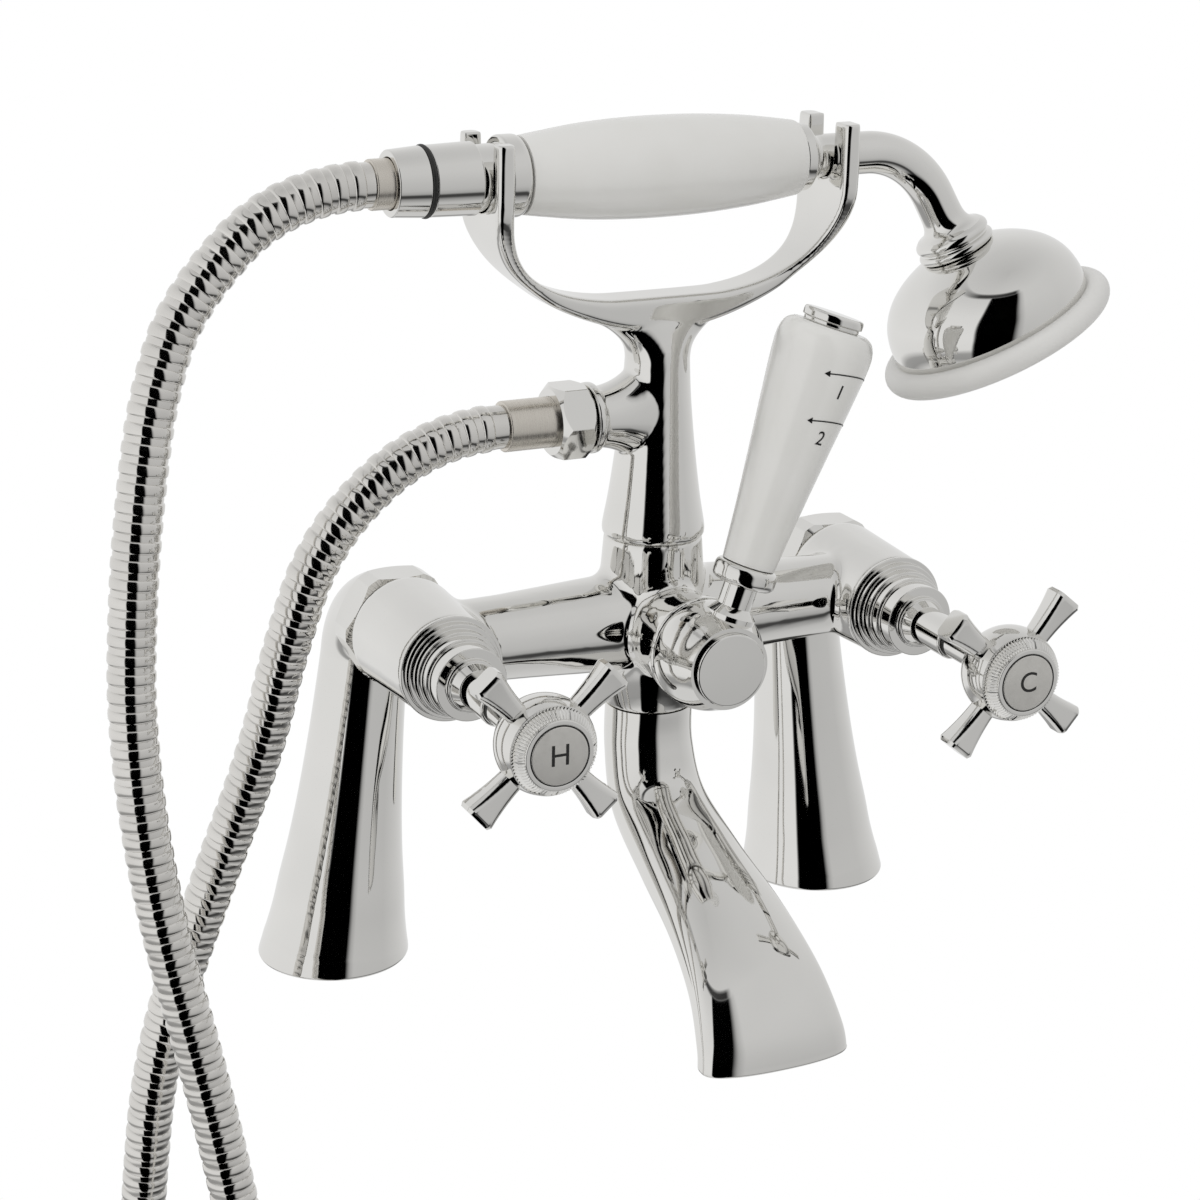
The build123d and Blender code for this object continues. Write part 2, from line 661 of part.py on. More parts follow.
def sleeve_start():
    """Where a valve's spindle sleeve begins."""
    return barrel_front + bonnet_steps[-1][0] + bonnet_nose_length + bonnet_cone_length


def spindle_sleeve(side):
    """The plain sleeve round a spindle, in front of the bonnet."""
    place = valve_frame(side)
    start = sleeve_start()
    sleeve = rod(place, sleeve_radius, start, start + sleeve_length)
    rim = sleeve.edges().filter_by(GeomType.CIRCLE).sort_by(Axis.Y)[0]
    return chamfer(rim, sleeve_chamfer) - rod(place, spindle_radius + running, start - overrun,
                                              start + sleeve_length + overrun)


def gland_ring(side):
    """The black sealing ring that shows between a sleeve and its handle."""
    radius = spindle_radius + running + gland_ring_section
    return ring(valve_frame(side), radius, gland_ring_section, sleeve_start() + sleeve_length + gland_ring_section)


seat_seal_front = -seat_front + seat_seal_thickness
fixed_disc_front = seat_seal_front + ceramic_disc_thickness
moving_disc_front = fixed_disc_front + ceramic_disc_thickness
spindle_foot_front = moving_disc_front + spindle_foot_thickness


def seat_seal(side):
    """The rubber seal under the fixed ceramic disc."""
    return rod(valve_frame(side), seat_seal_radius, -seat_front, seat_seal_front, seat_bore)


def ceramic_disc(side, start):
    """A polished ceramic disc with two ports."""
    place = valve_frame(side)
    disc = rod(place, ceramic_disc_radius, start, start + ceramic_disc_thickness)
    for turn in (0, 180):
        hole = Pos(disc_port_offset, 0, start + ceramic_disc_thickness / 2) * Cylinder(
            disc_port_radius, ceramic_disc_thickness + 2 * overrun)
        disc -= place * (Rot(0, 0, turn) * hole)
    return disc


def fixed_disc(side):
    """The ceramic disc that stands still on the seat's seal."""
    return ceramic_disc(side, seat_seal_front)


def headwork(side):
    """The brass body of a quarter-turn valve."""
    place = valve_frame(side)
    solid = rod(place, headwork_radius, seat_seal_front, headwork_front)
    solid -= rod(place, ceramic_disc_radius + running, seat_seal_front - overrun, spindle_foot_front + clearance)
    window_end = spindle_foot_front + headwork_window_length
    window = place * (Pos(0, 0, (moving_disc_front + window_end) / 2) * Box(
        4 * headwork_radius, headwork_window_width, window_end - moving_disc_front))
    solid -= window - rod(place, spindle_radius + overrun, moving_disc_front, window_end)
    return solid - rod(place, spindle_radius + running, spindle_foot_front, headwork_front + overrun)


handle_neck_start = sleeve_start() + sleeve_length + 2 * gland_ring_section + clearance
ball_front = handle_ball_distance + sqrt(handle_ball_radius ** 2 - knurl_flange_radius ** 2)
socket_end = handle_ball_distance
knurl_end = ball_front + knurl_flange_thickness + knurl_length
handle_front = knurl_end + bezel_length
index_back = handle_front - index_thickness


def spindle(side):
    """A valve's spindle: a foot that drives the moving disc, and a square for the handle."""
    place = valve_frame(side)
    solid = rod(place, spindle_foot_radius, moving_disc_front, spindle_foot_front)
    solid += rod(place, spindle_radius, spindle_foot_front, handle_neck_start)
    solid += bar(place, spindle_square, spindle_square, handle_neck_start, socket_end)
    return solid - rod(place, handle_screw_radius, socket_end - handle_screw_length, socket_end + overrun)


def cross_arm():
    """One arm of a cross handle, along X from the ball's centre."""
    planes = [Plane(origin=(distance, 0, 0), x_dir=(0, 1, 0), z_dir=(1, 0, 0))
              for distance in [section[0] for section in arm_sections] + [arm_reach]]
    sections = [plane * RectangleRounded(width, depth, corner)
                for plane, (_, width, depth, corner) in zip(planes, arm_sections)]
    arm = loft(sections)
    tip_face = planes[-1] * RectangleRounded(arm_tip_width, arm_tip_depth, arm_tip_round)
    tip = loft([sections[-1], tip_face], ruled=True)
    return arm + tip


def crosshead(side, turn):
    """A cross handle: a ball with four flared arms, bored for the spindle."""
    place = valve_frame(side)
    ball = Sphere(handle_ball_radius)
    front = ball_front - handle_ball_distance
    ball -= Pos(0, 0, front + handle_ball_radius) * Box(4 * handle_ball_radius, 4 * handle_ball_radius,
                                                        2 * handle_ball_radius)
    for index in range(arm_count):
        ball += Rot(0, 0, 45 + turn + index * 360 / arm_count) * cross_arm()
    solid = place * (Pos(0, 0, handle_ball_distance) * ball)
    solid += rod(place, handle_neck_radius, handle_neck_start, handle_ball_distance)
    solid -= bar(place, spindle_square + 2 * running, spindle_square + 2 * running, handle_neck_start - overrun,
                 socket_end)
    solid -= rod(place, handle_screw_radius + clearance, socket_end - overrun, ball_front + overrun)
    return solid - rod(place, handle_screw_head_radius + clearance, screw_head_start(), ball_front + overrun)


def screw_head_start():
    """Where the head of a handle's screw bears on the handle."""
    return socket_end + overrun


def handle_screw(side):
    """The screw that holds a handle on its spindle."""
    place = valve_frame(side)
    head = screw_head_start()
    solid = rod(place, handle_screw_radius, socket_end - handle_screw_length + clearance, head)
    solid += rod(place, handle_screw_head_radius, head, head + handle_screw_head_length)
    slot = place * (Pos(0, 0, head + handle_screw_head_length) * Box(4 * handle_screw_radius, edge_round,
                                                                     handle_screw_head_length))
    return solid - slot


def knurled_ring(side):
    """The knurled ring that frames a handle's index plate."""
    place = valve_frame(side)
    flange_end = ball_front + knurl_flange_thickness
    points = []
    for index in range(2 * knurl_count):
        radius = knurl_radius - knurl_depth * (index % 2)
        angle = pi * index / knurl_count
        points.append((radius * cos(angle), radius * sin(angle)))
    teeth = make_face(Polyline(*points, close=True).edges())
    band = place * (Pos(0, 0, flange_end) * extrude(teeth, knurl_length))
    solid = rod(place, knurl_flange_radius, ball_front, flange_end) + band
    solid += turned(place, [(knurl_end, bezel_radius), (handle_front, bezel_radius - edge_round)])
    solid -= rod(place, bezel_bore, ball_front - overrun, handle_front)
    return solid - rod(place, index_radius + running, index_back, handle_front + overrun)


def index_plate(side):
    """The round plate that marks a handle hot or cold."""
    return rod(valve_frame(side), index_radius, index_back, handle_front)


# Diverter
diverter_seal_end = diverter_body_back - 2 * diverter_disc_thickness
diverter_seal_start = diverter_seal_end - diverter_seal_thickness


def diverter_disc(start):
    """A ceramic disc of the diverter, with one wide port."""
    disc = rod(diverter_frame, diverter_disc_radius, start, start + diverter_disc_thickness)
    return disc - diverter_frame * (Pos(disc_port_offset, 0, start + diverter_disc_thickness / 2) * Cylinder(
        disc_port_radius, diverter_disc_thickness + 2 * overrun))


def diverter_cartridge():
    """The brass body of the diverter's cartridge."""
    solid = rod(diverter_frame, diverter_body_radius, diverter_seal_end, diverter_body_front)
    solid -= rod(diverter_frame, diverter_disc_radius + running, diverter_seal_end - overrun,
                 diverter_body_back + spindle_foot_thickness + clearance)
    return solid - rod(diverter_frame, diverter_spindle_radius + running, diverter_body_back,
                       diverter_body_front + overrun)


def diverter_seal():
    """The rubber ring behind the diverter's discs."""
    return rod(diverter_frame, diverter_disc_radius, diverter_seal_start, diverter_seal_end, seat_bore)


def diverter_spindle():
    """The diverter's spindle, square where the lever's hub sits on it."""
    foot_end = diverter_body_back + spindle_foot_thickness
    solid = rod(diverter_frame, diverter_disc_radius - edge_round, diverter_body_back, foot_end)
    solid += rod(diverter_frame, diverter_spindle_radius, foot_end, hub_start)
    solid += bar(diverter_frame, diverter_spindle_square, diverter_spindle_square, hub_start, diverter_spindle_front)
    return solid - rod(diverter_frame, diverter_screw_radius, diverter_spindle_front - diverter_screw_length,
                       diverter_spindle_front + overrun)


hub_end = hub_start + hub_outline[-1][0]
hub_seat = hub_end - hub_cap_recess
hub_screw_seat = diverter_spindle_front + overrun


def diverter_hub():
    """The turning hub of the diverter with the neck that carries its lever."""
    hub = turned(diverter_frame, [(hub_start + along, radius) for along, radius in hub_outline], curved=True)
    hub += turned(lever_frame, [(0, lever_neck_foot_radius), (lever_neck_foot, lever_neck_foot_radius),
                                (lever_neck_foot + lever_neck_radius / 2, lever_neck_radius),
                                (lever_neck_end, lever_neck_radius)])
    socket = diverter_spindle_square + 2 * running
    hub -= bar(diverter_frame, socket, socket, hub_start - overrun, diverter_spindle_front)
    hub -= rod(diverter_frame, diverter_screw_radius + clearance, diverter_spindle_front - overrun, hub_end)
    hub -= rod(diverter_frame, diverter_screw_head_radius + clearance, hub_screw_seat, hub_end + overrun)
    hub -= rod(diverter_frame, hub_cap_radius + running, hub_seat, hub_end + overrun)
    return hub - rod(lever_frame, lever_stud_radius + running, lever_neck_foot, lever_neck_end + overrun)


def diverter_screw():
    """The screw that holds the hub on the diverter's spindle."""
    solid = rod(diverter_frame, diverter_screw_radius, diverter_spindle_front - diverter_screw_length + clearance,
                hub_screw_seat)
    return solid + rod(diverter_frame, diverter_screw_head_radius, hub_screw_seat,
                       hub_screw_seat + diverter_screw_head_length)


def hub_cap():
    """The plain round cap in the front of the hub."""
    front = hub_end + hub_cap_stand
    cap = rod(diverter_frame, hub_cap_radius, hub_seat, front)
    rim = cap.edges().filter_by(GeomType.CIRCLE).sort_by(Axis.Y)[0]
    return fillet(rim, hub_cap_round)


grip_foot = lever_grip_outline[0][0]
grip_top = lever_grip_outline[-1][0]
lever_top = grip_top + lever_washer_thickness + lever_cap_thickness


def lever_collar():
    """The chrome collar under the lever's ceramic grip."""
    collar = rod(lever_frame, lever_collar_radius, lever_neck_end, lever_collar_end)
    collar = fillet(collar.edges().filter_by(GeomType.CIRCLE), lever_collar_round)
    return collar - rod(lever_frame, lever_stud_radius + running, lever_neck_end - overrun,
                        lever_collar_end + overrun)


def lever_grip():
    """The flared ceramic grip of the diverter's lever."""
    return turned(lever_frame, lever_grip_outline, bore=lever_grip_bore, curved=True)


def lever_stud():
    """The stud on which collar, grip and cap are threaded."""
    return rod(lever_frame, lever_stud_radius, lever_neck_foot + clearance, grip_top + lever_washer_thickness)


def lever_washer():
    """The plate between the grip and the lever's cap."""
    return rod(lever_frame, lever_washer_radius, grip_top, grip_top + lever_washer_thickness,
               lever_stud_radius + running)


def lever_cap():
    """The cap that closes the top of the lever."""
    cap = rod(lever_frame, lever_cap_radius, grip_top + lever_washer_thickness, lever_top)
    rim = cap.edges().filter_by(GeomType.CIRCLE).sort_by(Axis.Z)[-1]
    return fillet(rim, lever_cap_round)


# Hand shower
tail_end = tail_nut_inner_end - 2 * tail_ring_section
hose_tail_end = tail_nut_end + tail_sleeve_reach
tail_pocket = tail_nut_inner_end + tail_nut_wall


def tail_nut():
    """The nut of the hose at the hand shower, open at its mouth for the hose."""
    nut = turned(handset_frame, [(-tail_nut_end, tail_nut_mouth_radius), (-tail_nut_inner_end, tail_nut_radius)])
    nut += rod(handset_frame, tail_thread_radius, -tail_nut_inner_end, -tail_nut_inner_end + tail_thread_length)
    nut -= rod(handset_frame, ferrule_radius - clearance, -tail_nut_end - overrun, -tail_pocket)
    return nut - rod(handset_frame, ferrule_bore, -tail_pocket - overrun,
                     -tail_nut_inner_end + tail_thread_length + overrun)


def tail_ferrule():
    """The brushed sleeve crimped on the hose, which shows outside its nut."""
    return rod(handset_frame, ferrule_radius - clearance - running, -hose_tail_end, -tail_pocket, ferrule_bore)


def tail_ring():
    """The black ring between the hose's nut and the hand shower."""
    return ring(handset_frame, tail_thread_radius + tail_ring_section + running, tail_ring_section,
                -tail_end - tail_ring_section)


def handset_tail():
    """The chrome tail of the hand shower, with the waist that rests in the cradle's fork."""
    thread_end = tail_nut_inner_end - tail_thread_length - clearance
    solid = turned(handset_frame, [(-tail_end, tail_nut_radius), (-tail_waist_start, tail_radius)])
    solid += rod(handset_frame, tail_waist_radius, -tail_waist_start, -tail_waist_end)
    bead = rod(handset_frame, tail_bead_radius, -tail_waist_end, -tail_bead_end)
    solid += fillet(bead.edges().filter_by(GeomType.CIRCLE), tail_bead_round)
    solid -= rod(handset_frame, tail_thread_radius + running, -tail_end - overrun, -thread_end)
    solid -= rod(handset_frame, stem_bore, -tail_end, -tail_bead_end + overrun)
    return solid - rod(handset_frame, stem_radius + running, -stem_seat, -tail_bead_end + overrun)


def handset_grip():
    """The ceramic grip of the hand shower."""
    return turned(handset_frame, grip_outline, bore=stem_radius + clearance, curved=True)


def handset_stem():
    """The tube inside the grip that ties tail and neck together."""
    return rod(handset_frame, stem_radius, -stem_seat, neck_collar_end - edge_round, stem_bore)


def end_ring():
    """The chrome ring between the grip and the neck."""
    solid = rod(handset_frame, end_ring_radius, end_ring_start, end_ring_end)
    solid = fillet(solid.edges().filter_by(GeomType.CIRCLE), edge_round)
    return solid - rod(handset_frame, stem_radius + running, end_ring_start - overrun, end_ring_end + overrun)


bead_top = bead_start + len(bead_radii_shares) * 2 * bead_section


def neck_corner():
    """Where the neck's first run would meet the spray axis, in the neck's plane."""
    return Vector(rose_middle.X + spray_up.X * (rose_drop / spray_up.Y), 0, 0)


def handset_neck():
    """The bent tube from the grip to the rose."""
    corner = neck_corner()
    finish = rose_middle + spray_up * bead_top
    bend_tangent = neck_bend * tan(radians(90 - rose_lean) / 2)
    along = Vector(corner.X - bend_tangent, 0, 0)
    beyond = corner - spray_up * bend_tangent
    centre = along - Vector(0, neck_bend, 0)
    middle = centre + ((along - centre) + (beyond - centre)).normalized() * neck_bend
    path = neck_plane * (Line((end_ring_end, 0, 0), along) + ThreePointArc(along, middle, beyond))
    start = Plane(origin=neck_plane.from_local_coords(Vector(end_ring_end, 0, 0)), z_dir=(1, 0, 0))
    tube = sweep(start * Circle(neck_radius), path=path)
    last = bead_top + (beyond - finish).length
    solid = tube + turned(rose_frame, [(bead_top, neck_end_radius), (last, neck_radius)])
    solid += rod(handset_frame, neck_collar_radius, end_ring_end, neck_collar_end)
    solid += rod(rose_frame, bell_spigot_radius, bell_outline[-1][0] - bell_spigot_length, bead_top + overrun)
    solid -= sweep(start * Circle(neck_bore), path=path)
    solid -= rod(rose_frame, neck_bore, bell_outline[-1][0] - bell_spigot_length - overrun, last)
    return solid - rod(handset_frame, stem_radius + running, end_ring_end - overrun, neck_collar_end - edge_round)


def bead_rings():
    """The double bead where the neck meets the rose."""
    solid = None
    for index, share in enumerate(bead_radii_shares):
        start = bead_start + index * 2 * bead_section
        bead = rod(rose_frame, bead_radius * share, start, start + 2 * bead_section)
        bead = fillet(bead.edges().filter_by(GeomType.CIRCLE), bead_section - running)
        solid = bead if solid is None else solid + bead
    core = rod(rose_frame, bead_radius - 2 * bead_section, bead_start, bead_top)
    return solid + core - rod(rose_frame, bell_spigot_radius + running, bead_start - overrun, bead_top + overrun)


def rose_bell():
    """The chrome bell of the rose, a shell open below."""
    outer = turned(rose_frame, bell_outline, curved=True)
    inner_outline = [(along - bell_wall, radius - bell_wall) for along, radius in bell_outline]
    inner = turned(rose_frame, inner_outline, curved=True)
    solid = outer - inner
    top = bell_outline[-1][0]
    solid -= rod(rose_frame, bell_spigot_radius + running, top - 4 * bell_wall, top + overrun)
    return solid - rod(rose_frame, rose_rim_radius * 2, -rose_rim_radius, 0)


def rose_rim():
    """The white ring round the rose."""
    return ring(rose_frame, rose_rim_radius, rose_rim_section, 0) - rod(
        rose_frame, bell_outline[1][1] + running, -rose_rim_radius, rose_rim_radius)


def rose_plate():
    """The face of the rose, pierced with rings of jets."""
    radius = bell_outline[0][1] - bell_wall - clearance
    plate = Circle(radius)
    for index, count in enumerate(jet_ring_counts):
        for step in range(count):
            angle = 2 * pi * step / count
            reach = radius * index / len(jet_ring_counts)
            plate -= Pos(reach * cos(angle), reach * sin(angle)) * Circle(jet_radius)
    return rose_frame * extrude(plate, plate_thickness)


# Hose
# Its route hangs from the riser's outlet in a long loop and comes back up to the hand shower.
hose_route = [(-outlet_ferrule_end, body_y, outlet_height), (-80, body_y, outlet_height), (-106.5, -46, 174.5),
              (-128, -42.5, 149), (-140, -37, 105), (-150, -31, 50), (-160, -27, -10), (-161, -24, -68),
              (-163, -9, -120), (-165, 7, -168), (-166, 17, -212), (-164, 16, -259), (-158, -9, -292),
              (-150, -50, -305), (-142, -91, -292), (-137, -116, -259), (-136, -117, -212), (-138, -107, -164),
              (-142, -91, -120), (-147, -72, -66), (-156, -69, -4), (-168, -65, 56), (-176, -61, 116),
              (-177.5, -57.5, 168), (-174, -54.5, 203), (-165, -51, 230), (-147, -48.5, 251),
              (-121.5, body_y, handset_height), (-hose_tail_end, body_y, handset_height)]


def hose_radii(points):
    """The radius of each corner of the hose's route, as large as its two runs allow."""
    radii = []
    for before, corner, after in zip(points, points[1:], points[2:]):
        arriving = corner - before
        leaving = after - corner
        half_turn = radians(arriving.get_angle(leaving)) / 2
        radii.append(hose_arc_share * min(arriving.length, leaving.length) / tan(half_turn))
    return radii


def hose():
    """The ribbed hose: one unbroken run of ribs along its route, with its bore."""
    points = [Vector(*point) for point in hose_route]
    radii = hose_radii(points)
    path = FilletPolyline(*points, radius=radii)
    length = path.length
    print("hose", round(length, 1), "mm, corner radii", [round(radius, 1) for radius in radii])
    ribbed = length - 2 * hose_end_straight
    pitch = ribbed / hose_rib_count
    stations = [(0.0, hose_radius - hose_rib_rise), (hose_end_straight, hose_radius - hose_rib_rise)]
    for rib in range(hose_rib_count):
        start = hose_end_straight + rib * pitch
        for share, rise in zip(hose_rib_shares, (0, hose_rib_rise, hose_rib_rise, 0)):
            if rib + share > 0:
                stations.append((start + share * pitch, hose_radius - hose_rib_rise + rise))
    stations.append((length - hose_end_straight, hose_radius - hose_rib_rise))
    stations.append((length, hose_radius - hose_rib_rise))
    circles = []
    steady = Vector(0, 1, 0)
    for along, radius in stations:
        share = along / length
        tangent = path % share
        steady = (steady - tangent * steady.dot(tangent)).normalized()
        circles.append(Plane(origin=path @ share, x_dir=steady, z_dir=tangent) * Circle(radius))
    tube = loft(circles, ruled=True)
    start = Plane(origin=path @ 0, x_dir=(0, 1, 0), z_dir=path % 0)
    return tube - sweep(start * Circle(hose_bore), path=path)


def both(make):
    """The hot and the cold copy of a small piece, as one group."""
    return Compound(children=[make(side) for side in sides])


def build():
    """Write every sub-part."""
    for side in sides:
        save(leg(side), f"{side}_leg")
        save(bonnet(side), f"{side}_bonnet")
        save(headwork(side), f"{side}_headwork")
        save(ceramic_disc(side, fixed_disc_front), f"{side}_moving_disc")
        save(spindle(side), f"{side}_spindle")
        save(crosshead(side, hot_cross_turn if side == "hot" else cold_cross_turn), f"{side}_cross_handle")
        save(knurled_ring(side), f"{side}_knurled_ring")
        save(index_plate(side), f"{side}_index_plate")
        save(handle_screw(side), f"{side}_handle_screw")
    save(both(union_nut), "union_nuts")
    save(both(union_washer), "union_washers")
    save(both(spindle_sleeve), "spindle_sleeves")
    save(both(fixed_disc), "fixed_discs")
    save(both(deck_washer), "deck_washers")
    save(both(seat_seal), "seat_seals")
    save(both(gland_ring), "gland_rings")
    save(mixer_body(), "mixer_body")
    save(spout(), "spout")
    save(spout_seal(), "spout_seal")
    save(straightener(), "flow_straightener")
    save(diverter_seal(), "diverter_seal")
    save(diverter_disc(diverter_seal_end), "diverter_fixed_disc")
    save(diverter_disc(diverter_seal_end + diverter_disc_thickness), "diverter_moving_disc")
    save(diverter_cartridge(), "diverter_cartridge")
    save(diverter_spindle(), "diverter_spindle")
    save(diverter_hub(), "diverter_hub")
    save(diverter_screw(), "diverter_screw")
    save(hub_cap(), "hub_cap")
    save(lever_collar(), "lever_collar")
    save(lever_grip(), "lever_grip")
    save(lever_stud(), "lever_stud")
    save(lever_washer(), "lever_washer")
    save(lever_cap(), "lever_cap")
    save(riser(), "riser_cradle")
    save(riser_seal(), "riser_seal")
    save(outlet_nut(), "hose_outlet_nut")
    save(outlet_washer(), "hose_outlet_washer")
    save(outlet_ferrule(), "hose_outlet_ferrule")
    save(tail_nut(), "hose_tail_nut")
    save(tail_ferrule(), "hose_tail_ferrule")
    save(tail_ring(), "tail_ring")
    save(handset_tail(), "handset_tail")
    save(handset_grip(), "handset_grip")
    save(handset_stem(), "handset_stem")
    save(end_ring(), "grip_end_ring")
    save(handset_neck(), "handset_neck")
    save(bead_rings(), "rose_bead_rings")
    save(rose_bell(), "rose_bell")
    save(rose_rim(), "rose_rim")
    save(rose_plate(), "rose_plate")
    save(hose(), "hose")


build()
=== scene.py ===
import bisect
from math import atan2, copysign, cos, pi, radians, sin, sqrt, tan

import bmesh
import bpy
from mathutils import Matrix, Vector


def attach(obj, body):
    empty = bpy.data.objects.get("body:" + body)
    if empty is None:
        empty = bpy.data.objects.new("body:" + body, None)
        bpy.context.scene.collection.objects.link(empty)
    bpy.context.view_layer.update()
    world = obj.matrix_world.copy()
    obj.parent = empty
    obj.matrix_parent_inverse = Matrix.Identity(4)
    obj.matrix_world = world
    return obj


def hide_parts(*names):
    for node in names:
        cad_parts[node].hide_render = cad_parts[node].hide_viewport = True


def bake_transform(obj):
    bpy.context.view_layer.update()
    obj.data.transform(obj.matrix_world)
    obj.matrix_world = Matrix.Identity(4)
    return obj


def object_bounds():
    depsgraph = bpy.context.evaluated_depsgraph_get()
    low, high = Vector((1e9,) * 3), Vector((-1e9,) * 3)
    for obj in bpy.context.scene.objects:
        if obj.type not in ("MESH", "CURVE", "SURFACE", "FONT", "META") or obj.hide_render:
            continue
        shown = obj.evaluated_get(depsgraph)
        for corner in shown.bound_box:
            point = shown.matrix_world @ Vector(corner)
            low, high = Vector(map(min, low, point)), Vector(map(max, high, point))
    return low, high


# A bath shower mixer in polished chrome with glazed ceramic grips.
# Lengths are in millimetres and become metres when a piece is finished.
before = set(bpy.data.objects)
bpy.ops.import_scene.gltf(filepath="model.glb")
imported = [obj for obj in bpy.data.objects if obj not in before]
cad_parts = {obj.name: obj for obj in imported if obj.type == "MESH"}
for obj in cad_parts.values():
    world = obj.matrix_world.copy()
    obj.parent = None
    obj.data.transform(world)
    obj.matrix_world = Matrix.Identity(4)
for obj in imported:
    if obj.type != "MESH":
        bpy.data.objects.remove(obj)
cad_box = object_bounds()
MM = 0.001

# Driving sizes
DECK_CENTRES = 180.0
VALVE_CENTRES = 154.0
VALVE_HEIGHT = 119.0
BODY_FORWARD = 47.0
HANDSET_HEIGHT = 262.4
OUTLET_HEIGHT = 186.3
RISER_JOINT = 147.0
SPOUT_JOINT = 91.0
CLEARANCE = 0.3
SIDES = {"hot": -1, "cold": 1}
BODY_Y = -BODY_FORWARD
VALVE_X = VALVE_CENTRES / 2
FOOT_X = DECK_CENTRES / 2

# Mesh finish
TURN_STEPS = 112              # facets round a turned piece
CURVE_RUNS = 7                # points between two points of a curved outline
CREASE = 32.0                 # edges sharper than this stay sharp
FINE = 0.35                   # broken edge of a machined part
MERGE = 0.0002
CORNER_SHARE = 0.45           # how much of a run the rounding of one corner may take
NEARLY_STRAIGHT = radians(4)  # half turns below this are left as they are
FIT = 0.05                    # gap between pieces that are fixed together
CORNER_STEPS = 4              # points round a small corner
WIDE_CORNER_STEPS = 8
SECTION_SIDES = 20            # sides of a ring's round section


def frame_at(origin, x_dir, z_dir):
    """A local frame from its origin, its X direction and its Z direction."""
    z_axis = Vector(z_dir).normalized()
    x_axis = Vector(x_dir)
    x_axis = (x_axis - z_axis * x_axis.dot(z_axis)).normalized()
    made = Matrix((x_axis, z_axis.cross(x_axis), z_axis)).transposed().to_4x4()
    made.translation = origin
    return made


def valve_frame(side):
    """A valve's frame: Z runs forward from the body's axis."""
    return frame_at((SIDES[side] * VALVE_X, BODY_Y, VALVE_HEIGHT), (1, 0, 0), (0, -1, 0))


LEVER_LEAN = radians(19.3)
LEVER_DISTANCE = 44.0
DIVERTER = frame_at((0, BODY_Y, VALVE_HEIGHT), (1, 0, 0), (0, -1, 0))
LEVER = frame_at((0, BODY_Y - LEVER_DISTANCE, VALVE_HEIGHT), (0, 1, 0), (sin(LEVER_LEAN), 0, cos(LEVER_LEAN)))
RISER = frame_at((0, BODY_Y, RISER_JOINT), (1, 0, 0), (0, 0, 1))
OUTLET = frame_at((0, BODY_Y, OUTLET_HEIGHT), (0, 1, 0), (-1, 0, 0))
HANDSET = frame_at((0, BODY_Y, HANDSET_HEIGHT), (0, 1, 0), (1, 0, 0))
NECK_TURN = radians(10.7)
ROSE_LEAN = radians(25.6)
ROSE_ACROSS = 115.9
ROSE_DROP = 59.6
NECK_PLANE = frame_at((0, BODY_Y, HANDSET_HEIGHT), (1, 0, 0), (0, -cos(NECK_TURN), sin(NECK_TURN)))
SPRAY_UP = Vector((-sin(ROSE_LEAN), cos(ROSE_LEAN), 0))
ROSE_MIDDLE = Vector((ROSE_ACROSS, -ROSE_DROP, 0))
ROSE = frame_at(NECK_PLANE @ ROSE_MIDDLE, NECK_PLANE.to_3x3().col[2], NECK_PLANE.to_3x3() @ SPRAY_UP)


# Outlines
def through(points, runs=CURVE_RUNS):
    """A smooth line through points of any dimension."""
    ends = [points[0]] + list(points) + [points[-1]]
    made = []
    for before, start, end, after in zip(ends, ends[1:], ends[2:], ends[3:]):
        for step in range(runs):
            t = step / runs
            made.append(tuple(
                0.5 * (2 * b + (c - a) * t + (2 * a - 5 * b + 4 * c - d) * t ** 2 + (3 * b - a - 3 * c + d) * t ** 3)
                for a, b, c, d in zip(before, start, end, after)))
    made.append(tuple(points[-1]))
    return made


def softened(points, radius, steps=CORNER_STEPS):
    """A run of straight lines whose corners are rounded, each as far as its two runs allow."""
    corners = [Vector(point) for point in points]
    made = [corners[0]]
    radii = radius if isinstance(radius, (list, tuple)) else [radius] * (len(corners) - 2)
    for before, corner, after, wanted in zip(corners, corners[1:], corners[2:], radii):
        arriving = corner - before
        leaving = after - corner
        half = arriving.angle(leaving, 0) / 2
        if half < NEARLY_STRAIGHT or wanted <= 0:
            made.append(corner)
            continue
        cut = min(wanted * tan(half), CORNER_SHARE * arriving.length, CORNER_SHARE * leaving.length)
        start = corner - arriving.normalized() * cut
        end = corner + leaving.normalized() * cut
        for step in range(steps + 1):
            t = step / steps
            made.append(start * (1 - t) ** 2 + corner * (2 * t * (1 - t)) + end * t ** 2)
    made.append(corners[-1])
    return [tuple(point) for point in made]


def outward(bm):
    """Turn all faces outward."""
    bmesh.ops.recalc_face_normals(bm, faces=bm.faces)


def spin_line(bm, place, points, closed=False, steps=TURN_STEPS):
    """Spin a line of (along, radius) points round the frame's Z axis."""
    verts = [bm.verts.new(place @ Vector((radius, 0, along))) for along, radius in points]
    edges = [bm.edges.new(pair) for pair in zip(verts, verts[1:])]
    if closed:
        edges.append(bm.edges.new((verts[-1], verts[0])))
    bmesh.ops.spin(bm, geom=verts + edges, cent=place.translation, axis=place.to_3x3() @ Vector((0, 0, 1)),
                   angle=2 * pi, steps=steps, use_merge=True)
    bmesh.ops.remove_doubles(bm, verts=bm.verts, dist=MERGE)
    outward(bm)
    return bm


def turn(bm, place, outline, bore=None, steps=TURN_STEPS):
    """Spin an outline of (along, radius) points; a bore closes it into a ring."""
    points = list(outline)
    if bore is not None:
        points = [(points[0][0], bore)] + points + [(points[-1][0], bore)]
    return spin_line(bm, place, points, bore is not None, steps)


